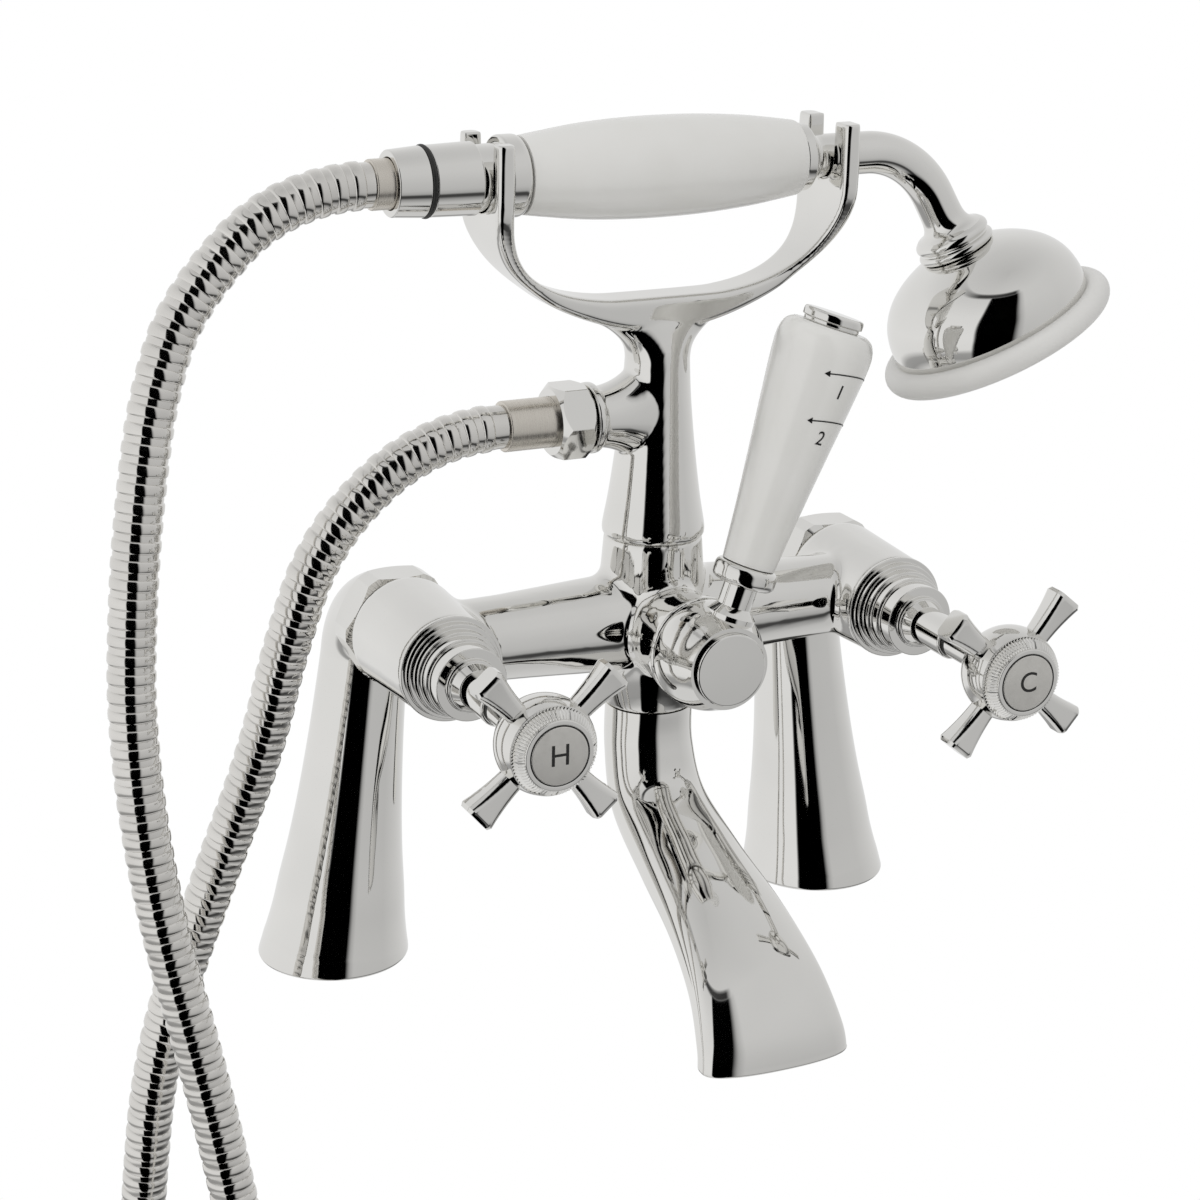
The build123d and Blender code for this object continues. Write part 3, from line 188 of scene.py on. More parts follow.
def round_ring(bm, place, radius, section, height, sides=SECTION_SIDES):
    """A ring of round section."""
    turns = [2 * pi * step / sides for step in range(sides)]
    points = [(height + section * sin(angle), radius + section * cos(angle)) for angle in turns]
    return spin_line(bm, place, points, closed=True)


def extruded(bm, edges):
    """Extrude edges; gives the new vertices and the new edges."""
    grown = bmesh.ops.extrude_edge_only(bm, edges=edges)["geom"]
    return ([item for item in grown if isinstance(item, bmesh.types.BMVert)],
            [item for item in grown if isinstance(item, bmesh.types.BMEdge)])


def resize(bm, verts, share, middle):
    """Scale vertices about a point."""
    bmesh.ops.scale(bm, vec=(share, share, share), verts=verts, space=Matrix.Translation(-middle))


def drawn_on(bm, edges, middle, way, share=1.0):
    """Draw a tube's open end straight on and scale it about its middle; gives the new end and its middle."""
    verts, edges = extruded(bm, edges)
    bmesh.ops.translate(bm, vec=way, verts=verts)
    resize(bm, verts, share, middle + way)
    return edges, middle + way


def drawn_round(bm, edges, middle, pivot, turn_axis, angle, steps, growth=1.0):
    """Draw a tube's open end round a bend; gives the new end and its middle."""
    step_turn = Matrix.Rotation(angle / steps, 3, turn_axis)
    for _ in range(steps):
        verts, edges = extruded(bm, edges)
        bmesh.ops.rotate(bm, verts=verts, cent=pivot, matrix=step_turn)
        middle = pivot + step_turn @ (middle - pivot)
        resize(bm, verts, growth, middle)
    return edges, middle


def add_shells(bm, other):
    """Add another bmesh's shells to this one; the other goes."""
    passing = bpy.data.meshes.new("passing")
    other.to_mesh(passing)
    other.free()
    bm.from_mesh(passing)
    bpy.data.meshes.remove(passing)


def ring_edges(verts):
    """The edges between the vertices of one ring."""
    held = set(verts)
    return list({edge for vert in verts for edge in vert.link_edges if edge.other_vert(vert) in held})


def skin_rings(bm, rings):
    """Bridge a run of rings and close its two ends."""
    for first, second in zip(rings, rings[1:]):
        bmesh.ops.bridge_loops(bm, edges=ring_edges(first) + ring_edges(second))
    for end in (rings[0], rings[-1]):
        bmesh.ops.edgeloop_fill(bm, edges=ring_edges(end))


def drum(start, end, radius, bore=0):
    """The outline of a plain drum."""
    return [(start, bore), (start, radius), (end, radius), (end, bore)]


def capped(outline):
    """An outline closed onto its axis at both ends."""
    return [(outline[0][0], 0.0)] + list(outline) + [(outline[-1][0], 0.0)]


def added(name, data):
    """An object in the scene."""
    made = bpy.data.objects.new(name, data)
    bpy.context.scene.collection.objects.link(made)
    return made


def finish_piece(name, bm, material, body, nodes=(), crease=CREASE, weighted=True):
    """Turn a finished bmesh into a piece that rides on a body and stands for CAD nodes."""
    bmesh.ops.scale(bm, vec=(MM, MM, MM), verts=bm.verts)
    for face in bm.faces:
        face.smooth = True
    for edge in bm.edges:
        edge.smooth = edge.calc_face_angle(0) < radians(crease)
    mesh = bpy.data.meshes.new(name)
    bm.to_mesh(mesh)
    bm.free()
    mesh.materials.append(material)
    piece = added(name, mesh)
    if weighted:
        even = piece.modifiers.new("even_normals", "WEIGHTED_NORMAL")
        even.keep_sharp = True
    if body:
        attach(piece, body)
    if nodes:
        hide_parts(*nodes)
    return piece


def turned(name, place, outline, material, body, nodes=(), bore=None, **finish):
    """A piece that is one turned outline."""
    finish_piece(name, turn(bmesh.new(), place, outline, bore), material, body, nodes, **finish)


# Materials
def linear(code):
    """A colour written as sRGB hex, in linear light."""
    values = [int(code[start:start + 2], 16) / 255 for start in (1, 3, 5)]
    return tuple(value / 12.92 if value <= 0.04045 else ((value + 0.055) / 1.055) ** 2.4 for value in values) + (1.0,)


def add_node(tree, kind, inputs=None, **settings):
    """Add a node, set it up, and feed its inputs with values or with other nodes' outputs."""
    made = tree.nodes.new(kind)
    for key, value in settings.items():
        setattr(made, key, value)
    for key, value in (inputs or {}).items():
        if isinstance(value, bpy.types.NodeSocket):
            tree.links.new(value, made.inputs[key])
        else:
            made.inputs[key].default_value = value
    return made


def bare_tree(owner):
    """The node tree of a material or a world, emptied."""
    owner.use_nodes = True
    owner.node_tree.nodes.clear()
    return owner.node_tree


def surface(name, colour, rough, bump, stretch=(1, 1, 1), constants=None):
    """A material whose colour, roughness and relief follow noise.

    Each of the three starts with its noise's grain in millimetres and the noise's detail. Then the colour has two
    hex colours to drift between, the roughness its lowest and highest value, and the relief its height in millimetres.
    """
    material = bpy.data.materials.new(name)
    tree = bare_tree(material)
    place = add_node(tree, "ShaderNodeTexCoord")
    mapping = add_node(tree, "ShaderNodeMapping", {"Vector": place.outputs["Object"], "Scale": stretch})
    tone, shine, rise = (add_node(tree, "ShaderNodeTexNoise", {
        "Vector": mapping.outputs["Vector"], "Scale": 1 / (grain * MM), "Detail": detail}).outputs["Fac"]
        for grain, detail in (colour[:2], rough[:2], bump[:2]))
    ramp = add_node(tree, "ShaderNodeValToRGB", {"Fac": tone})
    for stop, share, code in zip(ramp.color_ramp.elements, NOISE_RANGE, colour[2:]):
        stop.position = share
        stop.color = linear(code)
    low, high = NOISE_RANGE
    spread = add_node(tree, "ShaderNodeMapRange", {"Value": shine, "From Min": low, "From Max": high,
                                                   "To Min": rough[2], "To Max": rough[3]})
    relief = add_node(tree, "ShaderNodeBump", {"Height": rise, "Distance": bump[2] * MM, "Strength": 1.0})
    shader = add_node(tree, "ShaderNodeBsdfPrincipled", {
        "Base Color": ramp.outputs["Color"], "Roughness": spread.outputs["Result"],
        "Normal": relief.outputs["Normal"], **(constants or {})})
    add_node(tree, "ShaderNodeOutputMaterial", {"Surface": shader.outputs["BSDF"]})
    return material


NOISE_RANGE = (0.3, 0.7)      # the part of the noise's values that is put to use
METAL = {"Metallic": 1.0}
GLAZE = {"IOR": 1.5, "Coat Weight": 0.5, "Coat Roughness": 0.06}

# Chrome plate on polished brass: a clear mirror, with the faint swell that hand polishing leaves
CHROME = surface("polished_chrome_plate", (30, 2, "#E6E5E2", "#EAE9E6"), (9, 4, 0.025, 0.05), (14, 1, 0.02),
                 constants=METAL)
# Satin chrome of the index plates: the same plate, blasted fine so that it shows no clear image
SATIN = surface("satin_chrome_plate", (5, 2, "#E2E0DB", "#E9E7E2"), (1.2, 3, 0.3, 0.38), (0.4, 2, 0.002),
                constants=METAL)
# Chrome plated steel strip wound into a hose: a mirror with fine rolling marks
HOSE_METAL = surface("chromed_steel_strip", (12, 2, "#DEDCD8", "#E8E6E2"), (3, 4, 0.05, 0.11), (4, 2, 0.02),
                     constants=METAL)
# Brushed nickel of the sleeves: fine lines run round them and spread the highlights along their length
NICKEL = surface("brushed_nickel", (0.3, 3, "#D6D0C7", "#E0DBD2"), (0.3, 3, 0.24, 0.32), (0.3, 3, 0.001),
                 (1, 0.04, 0.04), METAL)
# Glazed porcelain: an off-white body under a clear glaze that pools a little unevenly
CERAMIC = surface("glazed_porcelain", (22, 2, "#EDECE8", "#F1F0ED"), (6, 3, 0.2, 0.27), (12, 1, 0.02),
                  constants=GLAZE)
# Moulded white plastic of the rose's rim and face: softer shine than the porcelain
PLASTIC = surface("moulded_white_plastic", (18, 2, "#E9E8E5", "#EDECE9"), (2, 3, 0.32, 0.4), (0.8, 2, 0.008),
                  constants={"IOR": 1.49})
# Moulded black rubber: matt, with a dull sheen and fine grain
RUBBER = surface("black_rubber_ring", (3, 2, "#1B1B1A", "#2A2A28"), (1.5, 3, 0.42, 0.55), (0.6, 2, 0.02))
# Black enamel let into the index plates and fired on the lever
ENAMEL = surface("fired_black_enamel", (2, 2, "#141413", "#1D1D1C"), (1, 2, 0.28, 0.38), (0.6, 1, 0.005))
# Machined brass of the valve bodies and spindles
BRASS = surface("machined_brass", (0.5, 3, "#C9A765", "#D8B978"), (0.5, 3, 0.2, 0.32), (0.5, 3, 0.01),
                (1, 0.1, 1), METAL)
# Turned stainless steel of the screws
STEEL = surface("turned_stainless_steel", (0.4, 3, "#B9B9B7", "#C9C9C6"), (0.4, 3, 0.2, 0.3), (0.4, 3, 0.01),
                (1, 0.1, 1), METAL)
# Lapped alumina of the valve discs
ALUMINA = surface("lapped_alumina", (4, 2, "#E4E2DA", "#EFEDE6"), (1, 3, 0.28, 0.36), (0.5, 2, 0.005))
# Pressed red-brown fibre of the union washers
FIBRE = surface("pressed_fibre", (0.8, 4, "#6E3B2C", "#8A5240"), (0.8, 4, 0.7, 0.85), (0.4, 3, 0.03))


# Castings
CAST_CREASE = 80.0            # a remeshed skin has no sharp edges
CAST_FLOW = 0.5
BODY_VOXEL = 0.75
BODY_ROUNDS = 6
NUT_CREASE = 20.0


def merged_copy(node):
    """A bmesh of a CAD node whose loose triangles are joined, in millimetres."""
    bm = bmesh.new()
    bm.from_mesh(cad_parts[node].data)
    bmesh.ops.scale(bm, vec=(1 / MM, 1 / MM, 1 / MM), verts=bm.verts)
    bmesh.ops.remove_doubles(bm, verts=bm.verts, dist=MERGE)
    return bm


def loose_object(bm, name):
    """A passing object made from a bmesh, for modifiers to work on."""
    mesh = bpy.data.meshes.new(name)
    bm.to_mesh(mesh)
    bm.free()
    return added(name, mesh)


def discard(thing):
    """Take an object out, with its data."""
    mesh = thing.data
    bpy.data.objects.remove(thing)
    bpy.data.meshes.remove(mesh)


def taken_up(thing):
    """A bmesh of an object as its modifiers leave it; the object goes."""
    bpy.context.view_layer.update()
    shaped = thing.evaluated_get(bpy.context.evaluated_depsgraph_get())
    bm = bmesh.new()
    bm.from_mesh(shaped.to_mesh())
    shaped.to_mesh_clear()
    discard(thing)
    return bm


def carved(bm, cutter):
    """A shell with another shell taken out of it."""
    thing = loose_object(bm, "blank")
    tool = loose_object(cutter, "tool")
    cut = thing.modifiers.new("cut", "BOOLEAN")
    cut.operation = "DIFFERENCE"
    cut.solver = "EXACT"
    cut.object = tool
    made = taken_up(thing)
    discard(tool)
    return made


def cast_skin(bm, voxel, rounds):
    """One even skin over closed shells that overlap, its inner corners run smooth as in a casting."""
    thing = loose_object(bm, "shells")
    skin = thing.modifiers.new("skin", "REMESH")
    skin.mode = "VOXEL"
    skin.voxel_size = voxel
    flow = thing.modifiers.new("flow", "SMOOTH")
    flow.factor = CAST_FLOW
    flow.iterations = rounds
    return taken_up(thing)


def casting(node, body, crease=CREASE, voxel=None, rounds=0):
    """A copy of a CAD casting, smooth-shaded; a voxel size gives it one even skin with soft corners."""
    bm = merged_copy(node)
    if voxel:
        bm = cast_skin(bm, voxel, rounds)
    finish_piece(f"{node}_casting", bm, CHROME, body, [node], CAST_CREASE if voxel else crease, weighted=not voxel)


# Legs
FOOT_RADIUS = 25.0
FOOT_EDGE = 1.2
LEG_TOP_RADIUS = 14.0
LEG_FLARE_HEIGHT = 118.0
LEG_FLARE_SHARES = [(0.06, 0.93), (0.13, 0.87), (0.21, 0.823), (0.33, 0.742), (0.47, 0.672), (0.64, 0.612),
                    (0.8, 0.573)]
LEG_SKIRT = 6.0               # foot outline below the deck, before it is cut level
LEG_SKIRT_RADIUS = 25.75
LEG_CURVE_START = 4.8         # the curve's points between the skirt's end and this height are left out
FOOT_EDGE_STEPS = 5
ELBOW_RADIUS = 15.0
ELBOW_BEND = 16.5
ELBOW_STEPS = 20
UNION_NECK_RADIUS = 11.6
UNION_NECK_REACH = 4.0


def leg(side):
    """A flared pillar leg, cut level at its foot, whose elbow turns forward to the union."""
    foot = Vector((SIDES[side] * FOOT_X, 0, 0))
    knee = Vector((SIDES[side] * VALVE_X, 0, VALVE_HEIGHT))
    axis = (knee - foot).normalized()
    forward = Vector((0, -1, 0))
    top = (knee - foot).length - ELBOW_BEND
    flare = [(height * LEG_FLARE_HEIGHT, radius * FOOT_RADIUS) for height, radius in LEG_FLARE_SHARES]
    curve = through([(-LEG_SKIRT, LEG_SKIRT_RADIUS), (0, FOOT_RADIUS)] + flare + [(top, LEG_TOP_RADIUS)])
    outline = [point for point in curve if point[0] <= -LEG_SKIRT or point[0] > LEG_CURVE_START]
    bm = turn(bmesh.new(), frame_at(foot, (0, 1, 0), axis), outline)
    bmesh.ops.bisect_plane(bm, geom=bm.verts[:] + bm.edges[:] + bm.faces[:], plane_co=(0, 0, 0),
                           plane_no=(0, 0, 1), clear_inner=True)
    rim = [edge for edge in bm.edges if edge.is_boundary and edge.calc_length() and
           all(abs(vert.co.z) < MERGE for vert in edge.verts)]
    bmesh.ops.edgeloop_fill(bm, edges=rim)
    bmesh.ops.bevel(bm, geom=rim, offset=FOOT_EDGE, segments=FOOT_EDGE_STEPS, profile=0.5, affect="EDGES", material=-1)
    edges, middle = drawn_round(bm, [edge for edge in bm.edges if edge.is_boundary], foot + axis * top,
                                knee + (forward - axis) * ELBOW_BEND, axis.cross(forward), pi / 2, ELBOW_STEPS,
                                (ELBOW_RADIUS / LEG_TOP_RADIUS) ** (1 / ELBOW_STEPS))
    edges, middle = drawn_on(bm, edges, middle, Vector(), UNION_NECK_RADIUS / ELBOW_RADIUS)
    edges, middle = drawn_on(bm, edges, middle, forward * UNION_NECK_REACH)
    bmesh.ops.edgeloop_fill(bm, edges=edges)
    outward(bm)
    finish_piece(f"{side}_pillar_leg", bm, CHROME, "mixer", [f"{side}_leg"])


# Valves
BARREL_FRONT = 20.0
BONNET_STEPS = [(1.3, 16.6), (4, 15), (7, 13.5), (10.6, 12.4), (16.4, 11.4)]
BONNET_NOSE = [(0, 8.2), (1.6, 8.2), (1.6, 7.4), (4.6, 6)]
SLEEVE_RADIUS = 6.0
SLEEVE_LENGTH = 16.0
SLEEVE_EDGE = 0.8
SPINDLE_RADIUS = 3.4
GLAND_SECTION = 0.8
SLEEVE_START = BARREL_FRONT + BONNET_STEPS[-1][0] + BONNET_NOSE[-1][0]
SLEEVE_END = SLEEVE_START + SLEEVE_LENGTH
BALL_RADIUS = 14.6
BALL_DISTANCE = 88.2
KNURL_FLANGE_RADIUS = 13.4
KNURL_FLANGE_THICKNESS = 0.3
KNURL_RADIUS = 13.2
KNURL_DEPTH = 0.8
KNURL_COUNT = 76
KNURL_STEPS = [(2.1, 0.94), (1.5, 0.88)]     # length, and how far the ring narrows over it
KNURL_LENGTH = KNURL_STEPS[0][0] + KNURL_STEPS[1][0]
KNURL_BORE = 5.2
KNURL_CORE = 9.9
KNURL_TOOTH_POINTS = 4
KNURL_FLATNESS = 1.3          # over 1, the teeth have flat tops and roots
BEZEL_RADIUS = 10.4
BEZEL_EDGE = 0.2
HANDLE_FRONT = 98.4
INDEX_RADIUS = 8.9
INDEX_THICKNESS = 1.8
INDEX_GROOVE = 0.22
INDEX_DOME = [(0.15, 1), (0.3, 0.6), (0.35, 0)]     # rise over the handle's front, share of the rim's radius
INDEX_DOME_EDGES = [0, 0.25, 4.0]
INDEX_LINE_RISE = 0.02
INDEX_LINE_LAP = 0.04
BALL_FRONT = BALL_DISTANCE + sqrt(BALL_RADIUS ** 2 - KNURL_FLANGE_RADIUS ** 2)
KNURL_END = BALL_FRONT + KNURL_FLANGE_THICKNESS + KNURL_LENGTH


def bonnet(side):
    """The stepped bonnet in front of a valve barrel."""
    outline = []
    start = BARREL_FRONT
    for end, radius in BONNET_STEPS:
        outline += [(start, radius), (BARREL_FRONT + end, radius)]
        start = BARREL_FRONT + end
    outline += [(start + along, radius) for along, radius in BONNET_NOSE]
    bore = SPINDLE_RADIUS + CLEARANCE
    profile = softened([(outline[0][0], bore)] + outline + [(outline[-1][0], bore)], FINE)
    turned(f"{side}_stepped_bonnet", valve_frame(side), profile[1:-1], CHROME, "mixer", [f"{side}_bonnet"], bore)


def spindle_sleeves():
    """The plain sleeves in front of the bonnets."""
    bm = bmesh.new()
    bore = SPINDLE_RADIUS + CLEARANCE / 2
    profile = softened(drum(SLEEVE_START, SLEEVE_END, SLEEVE_RADIUS, bore), [0, SLEEVE_EDGE])
    for side in SIDES:
        turn(bm, valve_frame(side), profile[1:-1], bore=bore)
    finish_piece("valve_sleeves", bm, CHROME, "mixer", ["spindle_sleeves"])


def gland_rings():
    """The black rings between sleeves and handles."""
    bm = bmesh.new()
    for side in SIDES:
        round_ring(bm, valve_frame(side), SPINDLE_RADIUS + FIT + GLAND_SECTION, GLAND_SECTION,
                   SLEEVE_END + GLAND_SECTION)
    finish_piece("valve_gland_rings", bm, RUBBER, "mixer", ["gland_rings"])


def knurled_ring(side):
    """The knurled ring round a handle's index plate."""
    place = valve_frame(side)
    flange_end = BALL_FRONT + KNURL_FLANGE_THICKNESS
    seat = HANDLE_FRONT - INDEX_THICKNESS
    body = [(BALL_FRONT, KNURL_BORE), (BALL_FRONT, KNURL_FLANGE_RADIUS), (flange_end, KNURL_FLANGE_RADIUS),
            (flange_end, KNURL_CORE), (KNURL_END - BEZEL_EDGE, KNURL_CORE), (KNURL_END, BEZEL_RADIUS + BEZEL_EDGE),
            (HANDLE_FRONT, BEZEL_RADIUS), (HANDLE_FRONT, INDEX_RADIUS + FIT), (seat, INDEX_RADIUS + FIT),
            (seat, KNURL_BORE)]
    bm = turn(bmesh.new(), place, softened(body, FINE)[1:-1], KNURL_BORE)
    band = bmesh.ops.create_circle(bm, cap_ends=True, segments=KNURL_TOOTH_POINTS * KNURL_COUNT,
                                   radius=KNURL_RADIUS)["verts"]
    for vert in band:
        angle = atan2(vert.co.y, vert.co.x)
        tooth = max(-1.0, min(1.0, KNURL_FLATNESS * cos(angle * KNURL_COUNT)))
        radius = KNURL_RADIUS - KNURL_DEPTH * (1 - tooth) / 2
        vert.co = Vector((radius * cos(angle), radius * sin(angle), 0))
    face = list({face for vert in band for face in vert.link_faces})
    bmesh.ops.translate(bm, vec=(0, 0, flange_end), verts=band)
    made = list(band)
    for length, share in KNURL_STEPS:
        grown = bmesh.ops.extrude_face_region(bm, geom=face)["geom"]
        face = [item for item in grown if isinstance(item, bmesh.types.BMFace)]
        top = [item for item in grown if isinstance(item, bmesh.types.BMVert)]
        bmesh.ops.translate(bm, vec=(0, 0, length), verts=top)
        bmesh.ops.scale(bm, vec=(share, share, 1), verts=top)
        made += top
    bmesh.ops.transform(bm, matrix=place, verts=made)
    outward(bm)
    finish_piece(f"{side}_knurl", bm, CHROME, f"{side}_handle", [f"{side}_knurled_ring"])


def index_plate(side):
    """The round plate in a handle's face, with a fine line of enamel round it."""
    place = valve_frame(side)
    body = f"{side}_handle"
    seat = HANDLE_FRONT - INDEX_THICKNESS
    rim = INDEX_RADIUS - INDEX_GROOVE
    dome = [(seat, 0), (seat, rim)] + [(HANDLE_FRONT + rise, rim * share) for rise, share in INDEX_DOME]
    turned(f"{side}_index", place, softened(dome, INDEX_DOME_EDGES), SATIN, body, [f"{side}_index_plate"])
    front = HANDLE_FRONT + INDEX_LINE_RISE
    outer = INDEX_RADIUS + INDEX_LINE_LAP
    turned(f"{side}_index_line", place, [(seat, outer), (front, outer), (front, rim), (seat, rim)], ENAMEL, body,
           weighted=False)


# Diverter and its lever
HUB_END = 53.2
HUB_CAP_RADIUS = 11.5
HUB_CAP_RECESS = 2.2
HUB_CAP_STAND = 1.8
HUB_CAP_CROWN = 0.1
HUB_CAP_EDGE = 0.7
LEVER_STUD_RADIUS = 3.1
LEVER_COLLAR = (24.6, 31, 9.8)     # start, end, radius
LEVER_COLLAR_EDGE = 2.4
LEVER_GRIP = [(31.2, 8.2), (48, 9.7), (66, 11.6), (84, 13.6), (95.5, 14.75), (101.2, 14.85), (105, 13.6),
              (106.6, 11.4)]
LEVER_WASHER_RADIUS = 8.6
LEVER_WASHER_TOP = 108.0
LEVER_WASHER_EDGE = 0.3
LEVER_CAP_RADIUS = 9.3
LEVER_CAP_EDGE = 1.2
LEVER_TOP = 110.8


def lever_parts():
    """The hub's cap and the pieces threaded on the lever."""
    body = "diverter_lever"
    seat = HUB_END - HUB_CAP_RECESS
    front = HUB_END + HUB_CAP_STAND
    cap = softened([(seat, 0), (seat, HUB_CAP_RADIUS), (front, HUB_CAP_RADIUS), (front + HUB_CAP_CROWN, 0)],
                   [0, HUB_CAP_EDGE])
    turned("diverter_cap", DIVERTER, cap, CHROME, body, ["hub_cap"])
    collar = softened(drum(*LEVER_COLLAR), LEVER_COLLAR_EDGE, WIDE_CORNER_STEPS)
    turned("grip_collar", LEVER, collar[1:-1], CHROME, body, ["lever_collar"], LEVER_STUD_RADIUS)
    turned("lever_ceramic", LEVER, through(LEVER_GRIP), CERAMIC, body, ["lever_grip"], LEVER_STUD_RADIUS + CLEARANCE)
    top = LEVER_GRIP[-1][0]
    plate = softened(drum(top, LEVER_WASHER_TOP, LEVER_WASHER_RADIUS), LEVER_WASHER_EDGE)
    turned("lever_plate", LEVER, plate[1:-1], CHROME, body, ["lever_washer"], LEVER_STUD_RADIUS)
    cap = softened(drum(LEVER_WASHER_TOP, LEVER_TOP, LEVER_CAP_RADIUS), [LEVER_WASHER_EDGE, LEVER_CAP_EDGE])
    turned("lever_end_cap", LEVER, cap, CHROME, body, ["lever_cap"])


# Spout, stations along its line: forward of the body's axis, height, lean of the section from level, width,
# thickness, crowned share of the thickness, and how square its front and its back are
SPOUT_STATIONS = [(0, SPOUT_JOINT, 0, 27.8, 27.8, 0.5, 2, 2), (0.6, 77, 8, 28.2, 27.4, 0.5, 2.05, 2.1),
                  (8.6, 60.5, 36, 30.2, 25.6, 0.5, 2.15, 2.4), (31.5, 48.6, 59, 33.2, 22.6, 0.48, 2.25, 2.8),
                  (56, 38.6, 60, 37.9, 20, 0.47, 2.3, 3), (75.6, 26.4, 47, 43.3, 18, 0.46, 2.3, 3),
                  (86.8, 13, 25, 48, 17, 0.46, 2.3, 3), (89.3, 5.6, 0, 49.5, 16.5, 0.46, 2.3, 3)]
SPOUT_RUNS = 9
SPOUT_SIDES = 144
SPOUT_WALL = 3.0
SPOUT_LIP = 0.9
SPOUT_LIP_STEPS = 4
SPOUT_INSIDE_RINGS = 24


def spout_ring(bm, station, inset, onward=0.0):
    """A ring of vertices on one section of the spout, crowned in front and squarer behind."""
    forward, height, lean, width, depth, crown, front_power, back_power = station
    tilt = radians(lean)
    place = frame_at((0, BODY_Y - forward, height), (1, 0, 0), (0, -sin(tilt), -cos(tilt)))
    deep = depth - 2 * inset
    middle = deep / 2 - crown * deep
    ring = bmesh.ops.create_circle(bm, cap_ends=False, segments=SPOUT_SIDES, radius=1)["verts"]
    for vert in ring:
        across, along = vert.co.x, vert.co.y
        power, share = (front_power, crown) if along > 0 else (back_power, 1 - crown)
        point = Vector((copysign((width / 2 - inset) * abs(across) ** (2 / power), across),
                        middle + copysign(share * deep * abs(along) ** (2 / power), along), onward))
        vert.co = place @ point
    return ring


def spout():
    """The spout: round where it leaves the body, wide and flat at its mouth, hollow inside its lip."""
    bm = bmesh.new()
    stations = through(SPOUT_STATIONS, SPOUT_RUNS)
    mouth = stations[-1]
    arc = [pi / 2 * step / SPOUT_LIP_STEPS for step in range(SPOUT_LIP_STEPS + 1)]
    rings = [spout_ring(bm, station, 0.0) for station in stations[:-2]]
    rings += [spout_ring(bm, mouth, SPOUT_LIP * (1 - cos(angle)), SPOUT_LIP * (sin(angle) - 1)) for angle in arc]
    rings += [spout_ring(bm, mouth, SPOUT_WALL - SPOUT_LIP * (1 - cos(angle)), SPOUT_LIP * (sin(angle) - 1))
              for angle in reversed(arc)]
    rings += [spout_ring(bm, station, SPOUT_WALL) for station in reversed(stations[-SPOUT_INSIDE_RINGS:-2])]
    skin_rings(bm, rings)
    outward(bm)
    finish_piece("bath_spout", bm, CHROME, "mixer", ["spout"])


# Riser and cradle
RISER_OUTLINE = [(0, 15.2), (0.5, 15.9), (1, 16), (3.4, 16), (12, 14.5), (22, 13.1), (34, 11.7), (46, 10.6),
                 (57, 10), (60, 9.6)]
# Ovals: distance along, half width one way, half width the other way
RISER_FLARE = [(54, 9.9, 9.9), (57, 10.1, 10), (60.5, 11, 9.4), (64, 13.8, 8.4), (67.5, 18.6, 7.4), (70.4, 26, 6.4)]
OUTLET_BRANCH = [(0, 10.4, 16.5), (6, 10.1, 16.4), (9, 9.9, 14.4), (12, 9.7, 12.2), (15, 9.5, 10.7), (18.5, 9.4, 9.7),
                 (22, 9.4, 9.4)]
OUTLET_COLLAR = [(21.4, 10.6), (22, 11), (24.2, 11), (24.2, 8.6), (29.6, 8.6)]
# The strap of the cradle: across and height of its inner face, across and height of its outer face, width
CRADLE_LINE = [(0, 223.6, 0, 213.4, 13.6), (9.5, 223.6, 10.5, 213.6, 13.8), (20, 223.9, 23.5, 216.8, 14),
               (31, 225.8, 36.5, 222.2, 14.2), (39.6, 229, 45.2, 228, 15), (46.2, 233.4, 51.6, 233.4, 17.6),
               (50.6, 238.8, 55.9, 238.6, 21.6), (53.3, 245, 59, 244.8, 26.4), (54.4, 251, 60.3, 251, 30),
               (54.5, 257, 60.4, 257, 31.2), (54.5, 266, 60.4, 266, 31.4), (54.7, 274, 60.2, 274, 31)]
CRADLE_RUNS = 5
CRADLE_EDGE = 2.2
CRADLE_SIDES = 40
PRONG_SLOTS = [(-1, 10.4, 262.6), (1, 7.8, 263.3)]   # side, half width, height of the round bottom's centre
PRONG_X = 57.5
SLOT_CUT = 20.0               # the cutter's reach through the strap
SLOT_RISE = 30.0
CAST_VOXEL = 0.5
CAST_ROUNDS = 9
RISER_RUNS = 4
FLARE_RUNS = 6
OVAL_SIDES = 64


def strap_ring(bm, inner, outer, width, side):
    """A ring of vertices on one section of the cradle's strap, its corners rounded."""
    low = Vector((side * outer[0], 0, outer[1]))
    high = Vector((side * inner[0], 0, inner[1]))
    thick = (high - low).length
    edge = min(CRADLE_EDGE, thick * CORNER_SHARE)
    up = (high - low).normalized()
    ring = bmesh.ops.create_circle(bm, cap_ends=False, segments=CRADLE_SIDES, radius=1)["verts"]
    for vert in ring:
        along = copysign(width / 2 - edge, vert.co.x) + edge * vert.co.x
        rise = copysign(thick / 2 - edge, vert.co.y) + edge * vert.co.y
        vert.co = low.lerp(high, 0.5) + Vector((0, BODY_Y + along, 0)) + up * rise
    return ring


def oval_run(bm, place, stations):
    """A closed run of ovals, each of (along, half width in X, half width in Y)."""
    rings = []
    for along, across, deep in stations:
        ring = bmesh.ops.create_circle(bm, cap_ends=False, segments=OVAL_SIDES, radius=1)["verts"]
        for vert in ring:
            vert.co = place @ Vector((vert.co.x * across, vert.co.y * deep, along))
        rings.append(ring)
    skin_rings(bm, rings)


